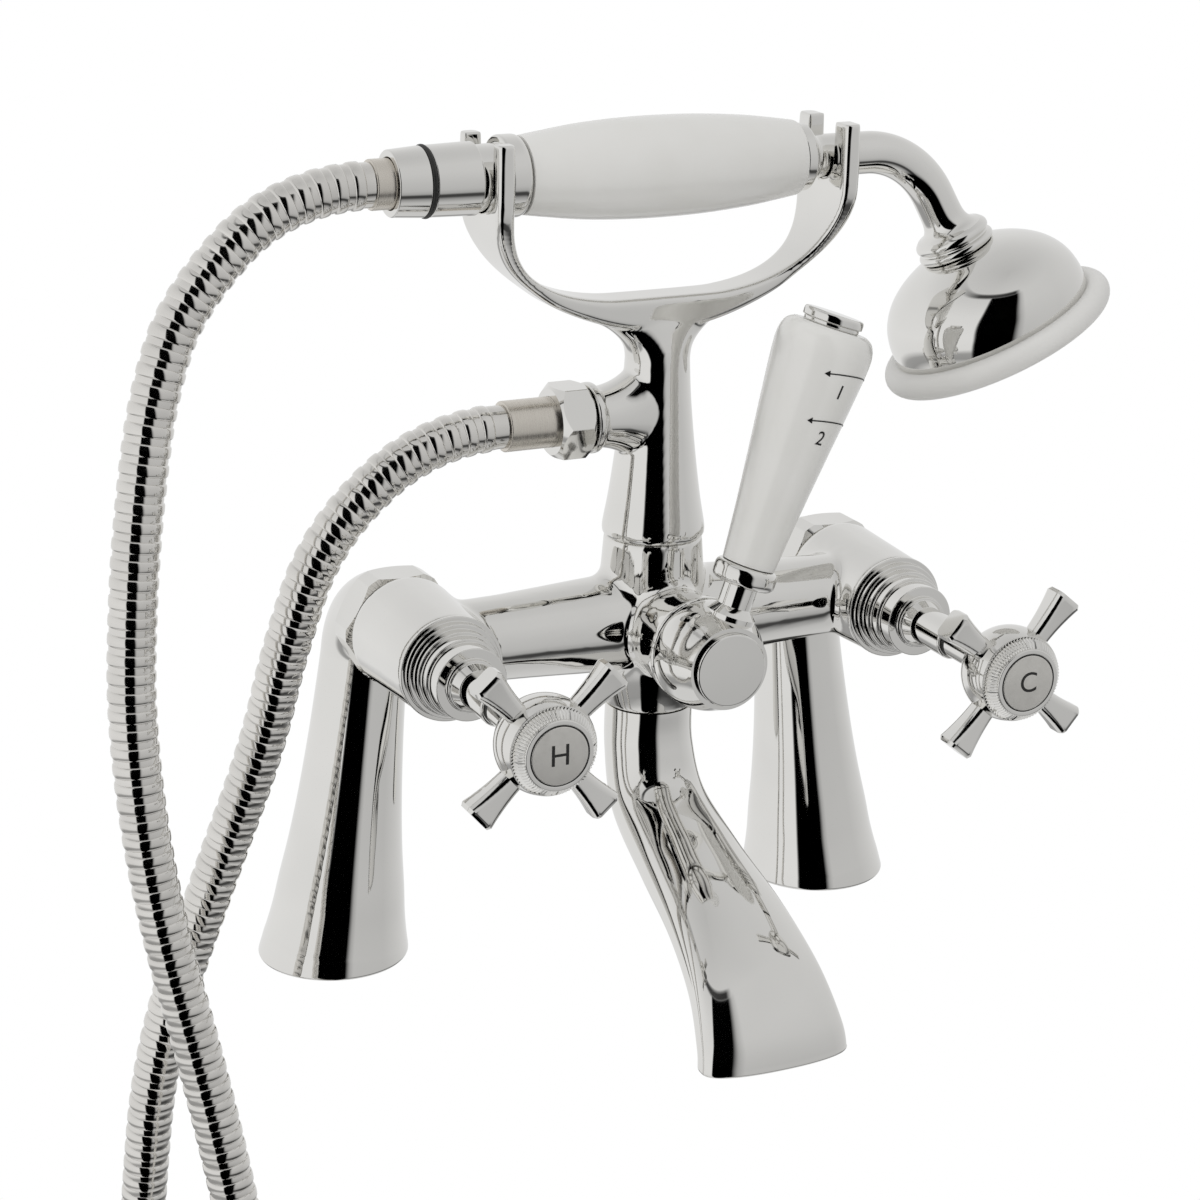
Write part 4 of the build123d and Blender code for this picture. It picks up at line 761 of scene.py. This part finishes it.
def riser_cradle():
    """The tapered riser with its hose outlet, flowing into the strap that carries the hand shower."""
    bm = bmesh.new()
    line = through(CRADLE_LINE, CRADLE_RUNS)
    rings = [strap_ring(bm, point[:2], point[2:4], point[4], side)
             for side, run in ((-1, line[:0:-1]), (1, line[1:])) for point in run]
    skin_rings(bm, rings)
    outward(bm)
    for side, half, height in PRONG_SLOTS:
        centre = Vector((side * PRONG_X, BODY_Y, height))
        slot = bmesh.new()
        bmesh.ops.create_cone(slot, cap_ends=True, segments=OVAL_SIDES, radius1=half, radius2=half, depth=SLOT_CUT,
                              matrix=Matrix.Translation(centre) @ Matrix.Rotation(pi / 2, 4, "Y"))
        bm = carved(bm, slot)
        slot = bmesh.new()
        bmesh.ops.create_cube(slot, size=1, matrix=Matrix.Translation(centre + Vector((0, 0, SLOT_RISE / 2))) @
                              Matrix.Diagonal((SLOT_CUT, 2 * half, SLOT_RISE, 1)))
        bm = carved(bm, slot)
    turn(bm, RISER, capped(through(RISER_OUTLINE, RISER_RUNS)))
    turn(bm, OUTLET, capped(OUTLET_COLLAR))
    oval_run(bm, RISER, through(RISER_FLARE, FLARE_RUNS))
    oval_run(bm, OUTLET, through(OUTLET_BRANCH, RISER_RUNS))
    outward(bm)
    finish_piece("riser_and_cradle", cast_skin(bm, CAST_VOXEL, CAST_ROUNDS), CHROME, "mixer", ["riser_cradle"],
                 CAST_CREASE, weighted=False)


# Hand shower
HOSE_BORE = 4.2
TAIL_NUT_END = 88.6
TAIL_NUT_INNER_END = 78.6
TAIL_NUT_DEPTH = 3.6
TAIL_NUT_LAP = 1.0
TAIL_NUT_MOUTH_RADIUS = 9.8
TAIL_NUT_RADIUS = 10.5
TAIL_NUT_BORE = 7.7
TAIL_NUT_EDGES = [0.4, 0.5, 0.5, 0, 0, 0]
TAIL_RING_SECTION = 0.8
TAIL_RING_PROUD = 0.35
TAIL_THREAD_RADIUS = 8.4
STEM_RADIUS = 6.2
STEM_FIT = STEM_RADIUS + FIT
TAIL_OUTLINE = [(-77, TAIL_THREAD_RADIUS), (-77, 10.5), (-62.4, 10.9), (-62.4, 9.9), (-54.4, 9.9), (-54.4, 12.3),
                (-47.2, 12.3), (-47.2, STEM_FIT)]
TAIL_EDGES = [0.5, 0.5, 0.8, 0.5, 3.4, 3.4]
GRIP_OUTLINE = [(-47, 11.7), (-40, 12.7), (-28, 14.2), (-14, 15.1), (0, 15.3), (14, 14.9), (28, 13.8), (38, 12.5),
                (44.6, 11.5)]
GRIP_EDGE = 0.5
GRIP_END_RADIUS = 6.6         # where the flat ends of the grip and its ring stop short of the bore
END_RING = (44.8, 48.6, 10.4)     # start, end, radius
END_RING_EDGE = 0.9
END_RING_EDGE_STEPS = 6
NECK_START = END_RING[1]
NECK_RADIUS = 6.6
NECK_COLLAR = [(0, 7.8), (1.6, 7.8), (3, 6.9), (4.6, NECK_RADIUS)]     # distance from the neck's start, radius
NECK_COLLAR_EDGE = 0.4
NECK_COLLAR_RUNS = 4
NECK_FLARE = [(0, 1), (0.5, 1.01), (0.72, 1.06), (0.86, 1.18), (0.95, 1.37)]     # share of the run, of the radius
NECK_END_RADIUS = 10.5
NECK_BEND = 26.0
NECK_BEND_STEPS = 32
RIM_RADIUS = 34.5
RIM_SECTION = 4.1
RIM_SIDES = 36
BELL_OUTLINE = [(0, 31.9), (5, 32.8), (10.5, 32.6), (16, 31), (21, 27.6), (25, 22.8), (28, 17.2), (30, 11.6)]
BELL_LIP_SHARE = 0.95
LOW_BEAD = [(30.2, 11.3), (30.8, 12.1), (31.7, 12.4), (32.6, 12.1), (33.2, 11.2)]
HIGH_BEAD = [(33.6, 11.1), (34.2, 11.8), (35.1, 12.05), (36.2, 11.7), (37.3, 10.6)]
BEAD_TOP = HIGH_BEAD[-1][0]
BEAD_CREASE = 60.0
PLATE_THICKNESS = 2.6
PLATE_RIM = 1.6
PLATE_EDGE = 0.5
PLATE_DISH = 0.8
PLATE_RADIUS = BELL_OUTLINE[0][1] - PLATE_RIM - CLEARANCE
JET_RINGS = [1, 6, 12, 18, 24]
JET_RADIUS = 0.9
JET_NUB = [(0.4, 1.3), (-0.7, 1), (-0.7, 0.5), (0.2, 0.45), (0.2, 0)]     # along, share of the jet's radius
JET_EDGES = [0.15, 0.1, 0]
JET_EDGE_STEPS = 2
JET_STEPS = 12


def hand_shower_pieces():
    """The turned pieces along the hand shower's axis."""
    body = "hand_shower"
    inner = TAIL_NUT_LAP - TAIL_NUT_INNER_END
    seat = TAIL_NUT_DEPTH - TAIL_NUT_END
    nut = softened([(seat, TAIL_NUT_BORE), (-TAIL_NUT_END, TAIL_NUT_BORE), (-TAIL_NUT_END, TAIL_NUT_MOUTH_RADIUS),
                    (-TAIL_NUT_INNER_END, TAIL_NUT_RADIUS), (-TAIL_NUT_INNER_END, TAIL_THREAD_RADIUS),
                    (inner, TAIL_THREAD_RADIUS), (inner, HOSE_BORE), (seat, HOSE_BORE)], TAIL_NUT_EDGES)
    finish_piece("hose_nut", spin_line(bmesh.new(), HANDSET, nut, closed=True), CHROME, body, ["hose_tail_nut"])
    ring = round_ring(bmesh.new(), HANDSET, TAIL_NUT_RADIUS - TAIL_RING_SECTION + TAIL_RING_PROUD, TAIL_RING_SECTION,
                      TAIL_RING_SECTION - TAIL_NUT_INNER_END)
    finish_piece("hose_nut_ring", ring, RUBBER, body, ["tail_ring"])
    tail = softened(TAIL_OUTLINE, TAIL_EDGES, WIDE_CORNER_STEPS)
    turned("handset_tail_turned", HANDSET, tail, CHROME, body, ["handset_tail"], STEM_FIT)
    start, end = GRIP_OUTLINE[0][0], GRIP_OUTLINE[-1][0]
    grip = softened([(start, GRIP_END_RADIUS)] + through(GRIP_OUTLINE) + [(end, GRIP_END_RADIUS)], GRIP_EDGE)
    turned("handset_ceramic", HANDSET, grip, CERAMIC, body, ["handset_grip"], STEM_RADIUS + CLEARANCE)
    ring = softened(drum(*END_RING, GRIP_END_RADIUS), END_RING_EDGE, END_RING_EDGE_STEPS)
    turned("grip_ring", HANDSET, ring, CHROME, body, ["grip_end_ring"], STEM_FIT)


def neck():
    """The bent neck from the grip to the rose, one tube drawn along its bend."""
    bend_angle = pi / 2 - ROSE_LEAN
    corner = Vector((ROSE_MIDDLE.x + SPRAY_UP.x * (ROSE_DROP / SPRAY_UP.y), 0, 0))
    reach = NECK_BEND * tan(bend_angle / 2)
    bend_start = corner - Vector((reach, 0, 0))
    centre = bend_start - Vector((0, NECK_BEND, 0))
    bend_end = corner - SPRAY_UP * reach
    finish_point = ROSE_MIDDLE + SPRAY_UP * BEAD_TOP
    collar = [(NECK_START + along, radius) for along, radius in NECK_COLLAR]
    lip = softened([(NECK_START, STEM_RADIUS), collar[0], (NECK_START + 1, collar[0][1])], NECK_COLLAR_EDGE)
    outline = [(NECK_START, STEM_FIT)] + lip[1:-1] + through(collar, NECK_COLLAR_RUNS)[1:]
    bm = turn(bmesh.new(), HANDSET, outline + [(bend_start.x, NECK_RADIUS)])
    far = max(vert.co.x for vert in bm.verts)
    edges = [edge for edge in bm.edges if edge.is_boundary and all(vert.co.x > far - MERGE for vert in edge.verts)]
    turned_plane = NECK_PLANE.to_3x3()
    edges, middle = drawn_round(bm, edges, NECK_PLANE @ bend_start, NECK_PLANE @ centre, turned_plane.col[2],
                                -bend_angle, NECK_BEND_STEPS)
    down = -(turned_plane @ SPRAY_UP)
    run = (bend_end - finish_point).length
    flare = [(run * along, NECK_RADIUS * share) for along, share in NECK_FLARE] + [(run, NECK_END_RADIUS)]
    radii = through(flare, FLARE_RUNS)
    for before, after in zip(radii, radii[1:]):
        edges, middle = drawn_on(bm, edges, middle, down * (after[0] - before[0]), after[1] / before[1])
    bmesh.ops.edgeloop_fill(bm, edges=edges)
    bmesh.ops.edgeloop_fill(bm, edges=[edge for edge in bm.edges if edge.is_boundary])
    outward(bm)
    finish_piece("handset_bent_neck", bm, CHROME, "hand_shower", ["handset_neck"])


def rose_pieces():
    """The rose: beads, bell, rim and pierced face."""
    body = "hand_shower"
    beads = [(LOW_BEAD[0][0], STEM_FIT)] + through(LOW_BEAD) + through(HIGH_BEAD) + [(BEAD_TOP, STEM_FIT)]
    turned("neck_beads", ROSE, beads, CHROME, body, ["rose_bead_rings"], crease=BEAD_CREASE)
    bm = turn(bmesh.new(), ROSE, through(BELL_OUTLINE) + [(BELL_OUTLINE[-1][0], 0)])
    verts, edges = extruded(bm, [edge for edge in bm.edges if edge.is_boundary])
    resize(bm, verts, BELL_LIP_SHARE, ROSE.translation)
    bmesh.ops.edgeloop_fill(bm, edges=edges)
    outward(bm)
    finish_piece("rose_dome", bm, CHROME, body, ["rose_bell"])
    rim = round_ring(bmesh.new(), ROSE, RIM_RADIUS, RIM_SECTION, 0, RIM_SIDES)
    finish_piece("rose_white_rim", rim, PLASTIC, body, ["rose_rim"])
    face = softened([(PLATE_THICKNESS, 0), (PLATE_THICKNESS, PLATE_RADIUS), (0, PLATE_RADIUS), (-PLATE_DISH, 0)],
                    [0, PLATE_EDGE])
    bm = turn(bmesh.new(), ROSE, face)
    nub = softened([(along, JET_RADIUS * share) for along, share in JET_NUB], JET_EDGES, JET_EDGE_STEPS)
    for index, count in enumerate(JET_RINGS):
        reach = index * PLATE_RADIUS / len(JET_RINGS)
        depth = PLATE_DISH * (1 - reach / PLATE_RADIUS)
        for step in range(count):
            angle = 2 * pi * step / count
            spot = ROSE @ Matrix.Translation((reach * cos(angle), reach * sin(angle), -depth))
            turn(bm, spot, nub, steps=JET_STEPS)
    finish_piece("rose_face", bm, PLASTIC, body, ["rose_plate"])


# Hose
HOSE_WAIST = 6.65
HOSE_RIB = [(0, 6.65), (0.17, 6.73), (0.34, 6.65), (0.38, 6.95), (0.46, 7.14), (0.69, 7.2), (0.9, 7.14),
            (0.97, 6.95)]     # share of the pitch, radius
RIB_PITCH = 5.5
HOSE_PLAIN = 3.0              # smooth stretch at each end, inside its ferrule
HOSE_SIDES = 30
HOSE_LINE_STEPS = 32
FERRULE_END = 52.0
HOSE_TAIL_END = 94.5
OUTLET_SLEEVE_START = 31.2
OUTLET_SLEEVE_RADIUS = 7.8
TAIL_SLEEVE_END = 80.5
TAIL_SLEEVE_RADIUS = 7.45
HOSE_SLEEVE_EDGE = 0.5
# Points of the hose's hanging line, from the end of the outlet's ferrule to the end of the hand shower's tail
HOSE_CREASE = 50.0
HOSE_POINTS = [(-FERRULE_END, BODY_Y, OUTLET_HEIGHT), (-76, BODY_Y, OUTLET_HEIGHT), (-109, -46, 159),
               (-120.5, -42, 123), (-126.5, -37, 90), (-141, -31, 46.6), (-160, -27, -9.3), (-165.3, -24, -68.1),
               (-163.2, -9, -120), (-165, 7, -168), (-166, 17, -212), (-164, 16, -259), (-158, -9, -292),
               (-150, -50, -305), (-142, -91, -292), (-137, -116, -259), (-136, -117, -212),
               (-138, -107, -164), (-140.7, -91, -119), (-145.5, -72, -66.6), (-156, -69, -5.1),
               (-169.5, -65, 56.1), (-174.5, -61, 111), (-171.5, -57.5, 152), (-167, -54.5, 183),
               (-161.5, -51, 208), (-151.5, -48.5, 233), (-120.5, BODY_Y, HANDSET_HEIGHT),
               (-HOSE_TAIL_END, BODY_Y, HANDSET_HEIGHT)]


def hose_sleeves():
    """The brushed sleeves crimped on the two ends of the hose."""
    for name, place, start, end, radius, body, node in (
            ("outlet_sleeve", OUTLET, OUTLET_SLEEVE_START, FERRULE_END, OUTLET_SLEEVE_RADIUS, "mixer",
             "hose_outlet_ferrule"),
            ("tail_sleeve", HANDSET, -HOSE_TAIL_END, -TAIL_SLEEVE_END, TAIL_SLEEVE_RADIUS, "hand_shower",
             "hose_tail_ferrule")):
        outline = softened(drum(start, end, radius, HOSE_BORE), HOSE_SLEEVE_EDGE)
        turned(name, place, outline[1:-1], NICKEL, body, [node], HOSE_BORE)


def curve_mesh(curve):
    """The mesh of a curve or a text; the curve goes."""
    guide = bpy.data.objects.new(curve.name, curve)
    mesh = bpy.data.meshes.new_from_object(guide)
    bpy.data.objects.remove(guide)
    bpy.data.curves.remove(curve)
    return mesh


def spline_line(points):
    """The points of a smooth NURBS line that has these control points, in millimetres."""
    curve = bpy.data.curves.new("hose_line", "CURVE")
    curve.dimensions = "3D"
    curve.resolution_u = HOSE_LINE_STEPS
    spline = curve.splines.new("NURBS")
    spline.points.add(len(points) - 1)
    for point, place in zip(spline.points, points):
        point.co = (*place, 1.0)
    spline.order_u = 3
    spline.use_endpoint_u = True
    mesh = curve_mesh(curve)
    line = [vert.co.copy() for vert in mesh.vertices]
    bpy.data.meshes.remove(mesh)
    return line


def hose():
    """The ribbed hose: wide and narrow turns of strip, drawn along its hanging line."""
    line = spline_line(HOSE_POINTS)
    marks = [0.0]
    for first, second in zip(line, line[1:]):
        marks.append(marks[-1] + (second - first).length)
    total = marks[-1]
    steady = Vector((0, 1, 0))
    sides = []
    for before, after in zip(line[:1] + line, line[1:] + line[-1:]):
        heading = (after - before).normalized()
        steady = (steady - heading * steady.dot(heading)).normalized()
        sides.append((steady, heading.cross(steady)))
    count = round((total - 2 * HOSE_PLAIN) / RIB_PITCH)
    pitch = (total - 2 * HOSE_PLAIN) / count
    outline = [(0.0, HOSE_WAIST)]
    for index in range(count):
        outline += [(HOSE_PLAIN + (index + share) * pitch, radius) for share, radius in HOSE_RIB]
    outline += [(total - HOSE_PLAIN, HOSE_WAIST), (total, HOSE_WAIST)]
    bm = turn(bmesh.new(), Matrix.Identity(4), capped(outline), steps=HOSE_SIDES)
    for vert in bm.verts:
        along = min(max(vert.co.z, 0.0), total)
        index = min(bisect.bisect_right(marks, along) - 1, len(line) - 2)
        share = (along - marks[index]) / (marks[index + 1] - marks[index])
        across, beside = (first.lerp(second, share) for first, second in zip(sides[index], sides[index + 1]))
        vert.co = line[index].lerp(line[index + 1], share) + across * vert.co.x + beside * vert.co.y
    piece = finish_piece("hanging_hose", bm, HOSE_METAL, None, ["hose"], HOSE_CREASE, weighted=False)
    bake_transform(piece)


# Marks on the handles and the lever
MARK_PROUD = 0.06
MARK_DEPTH = 0.05             # half the thickness of the characters
MARK_STEPS = 6
INDEX_MARK_SIZE = 9.0
INDEX_MARK_FRONT = HANDLE_FRONT + INDEX_DOME[1][0] + MARK_PROUD
LEVER_MARKS = [(95.2, "1"), (80.4, "2")]     # distance along the lever of each arrow, and its character
ARROW_MIDDLE = radians(205)
ARROW_HALF = radians(42)
ARROW_RISE = 1.2
ARROW_WIDTH = 0.4
ARROW_HEAD = 1.1
ARROW_STEPS = 32
ARROW_RADIUS = LEVER_GRIP[3][1]
FIGURE_DROP = 5.8
FIGURE_MIDDLE = ARROW_MIDDLE + radians(-18)
FIGURE_SIZE = 6.2


def mark_mesh(text, size):
    """Plain characters as a thin flat mesh in millimetres, centred on the origin."""
    curve = bpy.data.curves.new("mark", "FONT")
    curve.body = text
    curve.size = size
    curve.align_x = "CENTER"
    curve.align_y = "CENTER"
    curve.extrude = MARK_DEPTH
    curve.resolution_u = MARK_STEPS
    mesh = curve_mesh(curve)
    bm = bmesh.new()
    bm.from_mesh(mesh)
    bpy.data.meshes.remove(mesh)
    bmesh.ops.remove_doubles(bm, verts=bm.verts, dist=MERGE)
    return bm


def index_mark(side, text):
    """A plain capital let into an index plate."""
    bm = mark_mesh(text, INDEX_MARK_SIZE)
    bmesh.ops.transform(bm, matrix=valve_frame(side) @ Matrix.Translation((0, 0, INDEX_MARK_FRONT)), verts=bm.verts)
    finish_piece(f"{side}_index_mark", bm, ENAMEL, f"{side}_handle", weighted=False)


def on_grip(along, angle, proud):
    """A place on the lever's grip."""
    radius = next(a + (b - a) * (along - start) / (end - start)
                  for (start, a), (end, b) in zip(LEVER_GRIP, LEVER_GRIP[1:]) if along <= end)
    return LEVER @ Vector(((radius + proud) * cos(angle), (radius + proud) * sin(angle), along))


def lever_marks():
    """Two plain curved arrows fired on the lever's grip, marked 1 and 2."""
    bm = bmesh.new()
    slope = Matrix.Rotation(pi / 2 + 2 * ARROW_RISE / (ARROW_HALF * ARROW_RADIUS), 3, "Z")
    for along, text in LEVER_MARKS:
        strip = bmesh.ops.create_grid(bm, x_segments=ARROW_STEPS, y_segments=1, size=1)["verts"]
        for vert in strip:
            rise = vert.co.y * ARROW_WIDTH / 2 - ARROW_RISE * vert.co.x ** 2
            vert.co = on_grip(along + rise, ARROW_MIDDLE + ARROW_HALF * vert.co.x, 2 * MARK_PROUD)
        head = bmesh.ops.create_circle(bm, cap_ends=True, segments=3, radius=ARROW_HEAD)["verts"]
        for vert in head:
            point = slope @ vert.co
            vert.co = on_grip(along - ARROW_RISE + point.y, ARROW_MIDDLE - ARROW_HALF + point.x / ARROW_RADIUS,
                              2 * MARK_PROUD)
        figure = mark_mesh(text, FIGURE_SIZE)
        for vert in figure.verts:
            vert.co = on_grip(along - FIGURE_DROP + vert.co.y, FIGURE_MIDDLE + vert.co.x / ARROW_RADIUS,
                              MARK_PROUD + vert.co.z)
        add_shells(bm, figure)
    finish_piece("lever_marks", bm, ENAMEL, "diverter_lever", weighted=False)


# Carried-over CAD nodes inside the mixer
INNER_NODES = {
    BRASS: ["hot_headwork", "cold_headwork", "hot_spindle", "cold_spindle", "diverter_cartridge", "diverter_spindle",
            "lever_stud", "handset_stem"],
    ALUMINA: ["fixed_discs", "hot_moving_disc", "cold_moving_disc", "diverter_fixed_disc", "diverter_moving_disc"],
    STEEL: ["hot_handle_screw", "cold_handle_screw", "diverter_screw"],
    RUBBER: ["seat_seals", "spout_seal", "diverter_seal", "riser_seal", "hose_outlet_washer", "deck_washers"],
    FIBRE: ["union_washers"],
    PLASTIC: ["flow_straightener"],
}


def dress_inner_nodes():
    """Give each CAD node that stays its own material."""
    for material, nodes in INNER_NODES.items():
        for node in nodes:
            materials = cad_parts[node].data.materials
            materials.clear()
            materials.append(material)


# Studio
CAMERA_AZIMUTH = radians(-25.864)
CAMERA_ELEVATION = radians(18.377)
CAMERA_ROLL = radians(1.132)
CAMERA_DISTANCE = 927.231
CAMERA_TARGET = Vector((-15.448, -41.832, 124.958))
CAMERA_LENS = 88.26
CAMERA_SENSOR = 36.0
CAMERA_CLIP = (0.05, 50)      # metres
FLOOR_DROP = 12.0
FLOOR_SIZE = 9000.0
LAMP_PLACE = Vector((-900, -700, 1100))
LAMP_SIZE = 900.0
LAMP_POWER = 4.0


def studio_camera():
    """The camera at the photograph's viewing angle."""
    back = Vector((sin(CAMERA_AZIMUTH) * cos(CAMERA_ELEVATION), -cos(CAMERA_AZIMUTH) * cos(CAMERA_ELEVATION),
                   sin(CAMERA_ELEVATION)))
    right = Vector((cos(CAMERA_AZIMUTH), sin(CAMERA_AZIMUTH), 0))
    rolled = Matrix.Rotation(CAMERA_ROLL, 3, back) @ right
    data = bpy.data.cameras.new("studio_camera")
    data.sensor_width = CAMERA_SENSOR
    data.lens = CAMERA_LENS
    data.clip_start, data.clip_end = CAMERA_CLIP
    camera = added("studio_camera", data)
    camera.matrix_world = frame_at((CAMERA_TARGET + back * CAMERA_DISTANCE) * MM, rolled, back)
    bpy.context.scene.camera = camera


def band(tree, socket, stops):
    """A value that follows a list of (degrees, value) stops, the socket running from -180 to 180 degrees."""
    share = add_node(tree, "ShaderNodeMapRange", {"Value": socket, "From Min": -180.0, "From Max": 180.0})
    ramp = add_node(tree, "ShaderNodeValToRGB", {"Fac": share.outputs["Result"]})
    items = ramp.color_ramp.elements
    while len(items) < len(stops):
        items.new(0.5)
    for item, (angle, _) in zip(items, stops):
        item.position = (angle + 180) / 360
    for item, (_, value) in zip(items, stops):
        item.color = (value, value, value, 1)
    return ramp.outputs["Color"]


RIGHT_WALL = [(-90, 0.63), (-57, 0.58), (-46, 0.32), (-40, 0.05), (-34, 0.05), (-29, 0.42), (-19, 0.54), (-10, 0.57),
              (0, 0.59), (16, 0.63), (33, 0.67), (55, 0.68), (90, 0.58)]
LEFT_WALL = [(-90, 0.7), (-48, 0.72), (-41, 0.34), (-34, 0.38), (-28, 0.82), (-10, 0.85), (25, 0.8), (55, 0.66),
             (90, 0.56)]
WALL_SIDE = [(-180, 0), (-50, 0), (-5, 1), (60, 0.95), (105, 0.5), (150, 0.1), (180, 0)]
GAP = [(-180, 0), (-50.5, 0), (-47.5, 1), (-4, 1), (2, 0.25), (8, 0), (180, 0)]
GAP_HEIGHT = [(-90, 1), (52, 1), (56, 0), (90, 0)]
CEILING_GAP = [(-90, 0), (51, 0), (53, 1), (57, 1), (59, 0), (90, 0)]
CEILING_GAP_SIDE = [(-180, 0), (-120, 0.2), (-75, 0.9), (-6, 0.95), (4, 0), (180, 0)]
SOFT_SKY = [(-90, 0.33), (-20, 0.42), (20, 0.57), (90, 0.8)]


def maths(tree, operation, *values):
    """The result of a math node."""
    return add_node(tree, "ShaderNodeMath", dict(enumerate(values)), operation=operation).outputs[0]


def blended(tree, share, first, second):
    """A value between two others."""
    return add_node(tree, "ShaderNodeMix", {"Factor": share, "A": first, "B": second},
                    data_type="FLOAT").outputs["Result"]


def studio_world():
    """White walls with a dark gap behind the camera, as chrome shows them; white to the camera itself."""
    world = bpy.data.worlds.new("studio")
    bpy.context.scene.world = world
    tree = bare_tree(world)
    place = add_node(tree, "ShaderNodeTexCoord")
    parts = add_node(tree, "ShaderNodeSeparateXYZ", {"Vector": place.outputs["Generated"]}).outputs
    front = maths(tree, "MULTIPLY", parts["Y"], -1.0)
    azimuth = maths(tree, "DEGREES", maths(tree, "ARCTAN2", parts["X"], front))
    height = maths(tree, "DEGREES", maths(tree, "ARCSINE", parts["Z"]))
    walls = blended(tree, band(tree, azimuth, WALL_SIDE), band(tree, height, LEFT_WALL),
                    band(tree, height, RIGHT_WALL))
    gap = maths(tree, "MULTIPLY", band(tree, azimuth, GAP), band(tree, height, GAP_HEIGHT))
    seam = maths(tree, "MULTIPLY", band(tree, azimuth, CEILING_GAP_SIDE), band(tree, height, CEILING_GAP))
    mirrored = blended(tree, maths(tree, "MAXIMUM", gap, seam), walls, 0.0)
    path = add_node(tree, "ShaderNodeLightPath").outputs
    shiny = maths(tree, "MAXIMUM", path["Is Glossy Ray"], path["Is Transmission Ray"])
    lit = blended(tree, shiny, band(tree, height, SOFT_SKY), mirrored)
    seen = blended(tree, path["Is Camera Ray"], lit, 1.0)
    tone = add_node(tree, "ShaderNodeCombineColor", {"Red": seen, "Green": seen, "Blue": seen})
    glow = add_node(tree, "ShaderNodeBackground", {"Color": tone.outputs["Color"], "Strength": 1.0})
    add_node(tree, "ShaderNodeOutputWorld", {"Surface": glow.outputs["Background"]})


def studio_floor():
    """A pale floor under the hanging hose, white to the camera apart from the object's soft shadow."""
    low = cad_box[0].z / MM - FLOOR_DROP
    bm = bmesh.new()
    bmesh.ops.create_grid(bm, x_segments=1, y_segments=1, size=FLOOR_SIZE / 2)
    bmesh.ops.translate(bm, vec=(0, 0, low), verts=bm.verts)
    material = bpy.data.materials.new("pale_floor")
    tree = bare_tree(material)
    paint = add_node(tree, "ShaderNodeBsdfDiffuse", {"Color": linear("#F4F4F3")})
    glow = add_node(tree, "ShaderNodeEmission", {"Color": (1, 1, 1, 1), "Strength": 1.0})
    path = add_node(tree, "ShaderNodeLightPath")
    mix = add_node(tree, "ShaderNodeMixShader", {0: path.outputs["Is Camera Ray"], 1: paint.outputs[0],
                                                 2: glow.outputs[0]})
    add_node(tree, "ShaderNodeOutputMaterial", {"Surface": mix.outputs[0]})
    floor = finish_piece("floor", bm, material, None, weighted=False)
    floor.visible_glossy = False


def studio_lamp():
    """A soft square lamp, high on the left."""
    data = bpy.data.lights.new("key_lamp", "AREA")
    data.shape = "SQUARE"
    data.size = LAMP_SIZE * MM
    data.energy = LAMP_POWER
    lamp = added("key_lamp", data)
    away = (LAMP_PLACE - CAMERA_TARGET).normalized()
    lamp.matrix_world = frame_at(LAMP_PLACE * MM, Vector((0, 0, 1)).cross(away), away)
    lamp.visible_glossy = False


def build():
    """Make every piece, then the studio."""
    studio_camera()
    for side in SIDES:
        leg(side)
        bonnet(side)
        casting(f"{side}_cross_handle", f"{side}_handle")
        knurled_ring(side)
        index_plate(side)
    index_mark("hot", "H")
    index_mark("cold", "C")
    spindle_sleeves()
    gland_rings()
    casting("mixer_body", "mixer", voxel=BODY_VOXEL, rounds=BODY_ROUNDS)
    casting("union_nuts", "mixer", crease=NUT_CREASE)
    spout()
    riser_cradle()
    casting("hose_outlet_nut", "mixer", crease=NUT_CREASE)
    casting("diverter_hub", "diverter_lever")
    lever_parts()
    lever_marks()
    hand_shower_pieces()
    neck()
    rose_pieces()
    hose_sleeves()
    hose()
    dress_inner_nodes()
    studio_world()
    studio_floor()
    studio_lamp()
    bpy.context.scene.view_settings.view_transform = "Standard"


build()
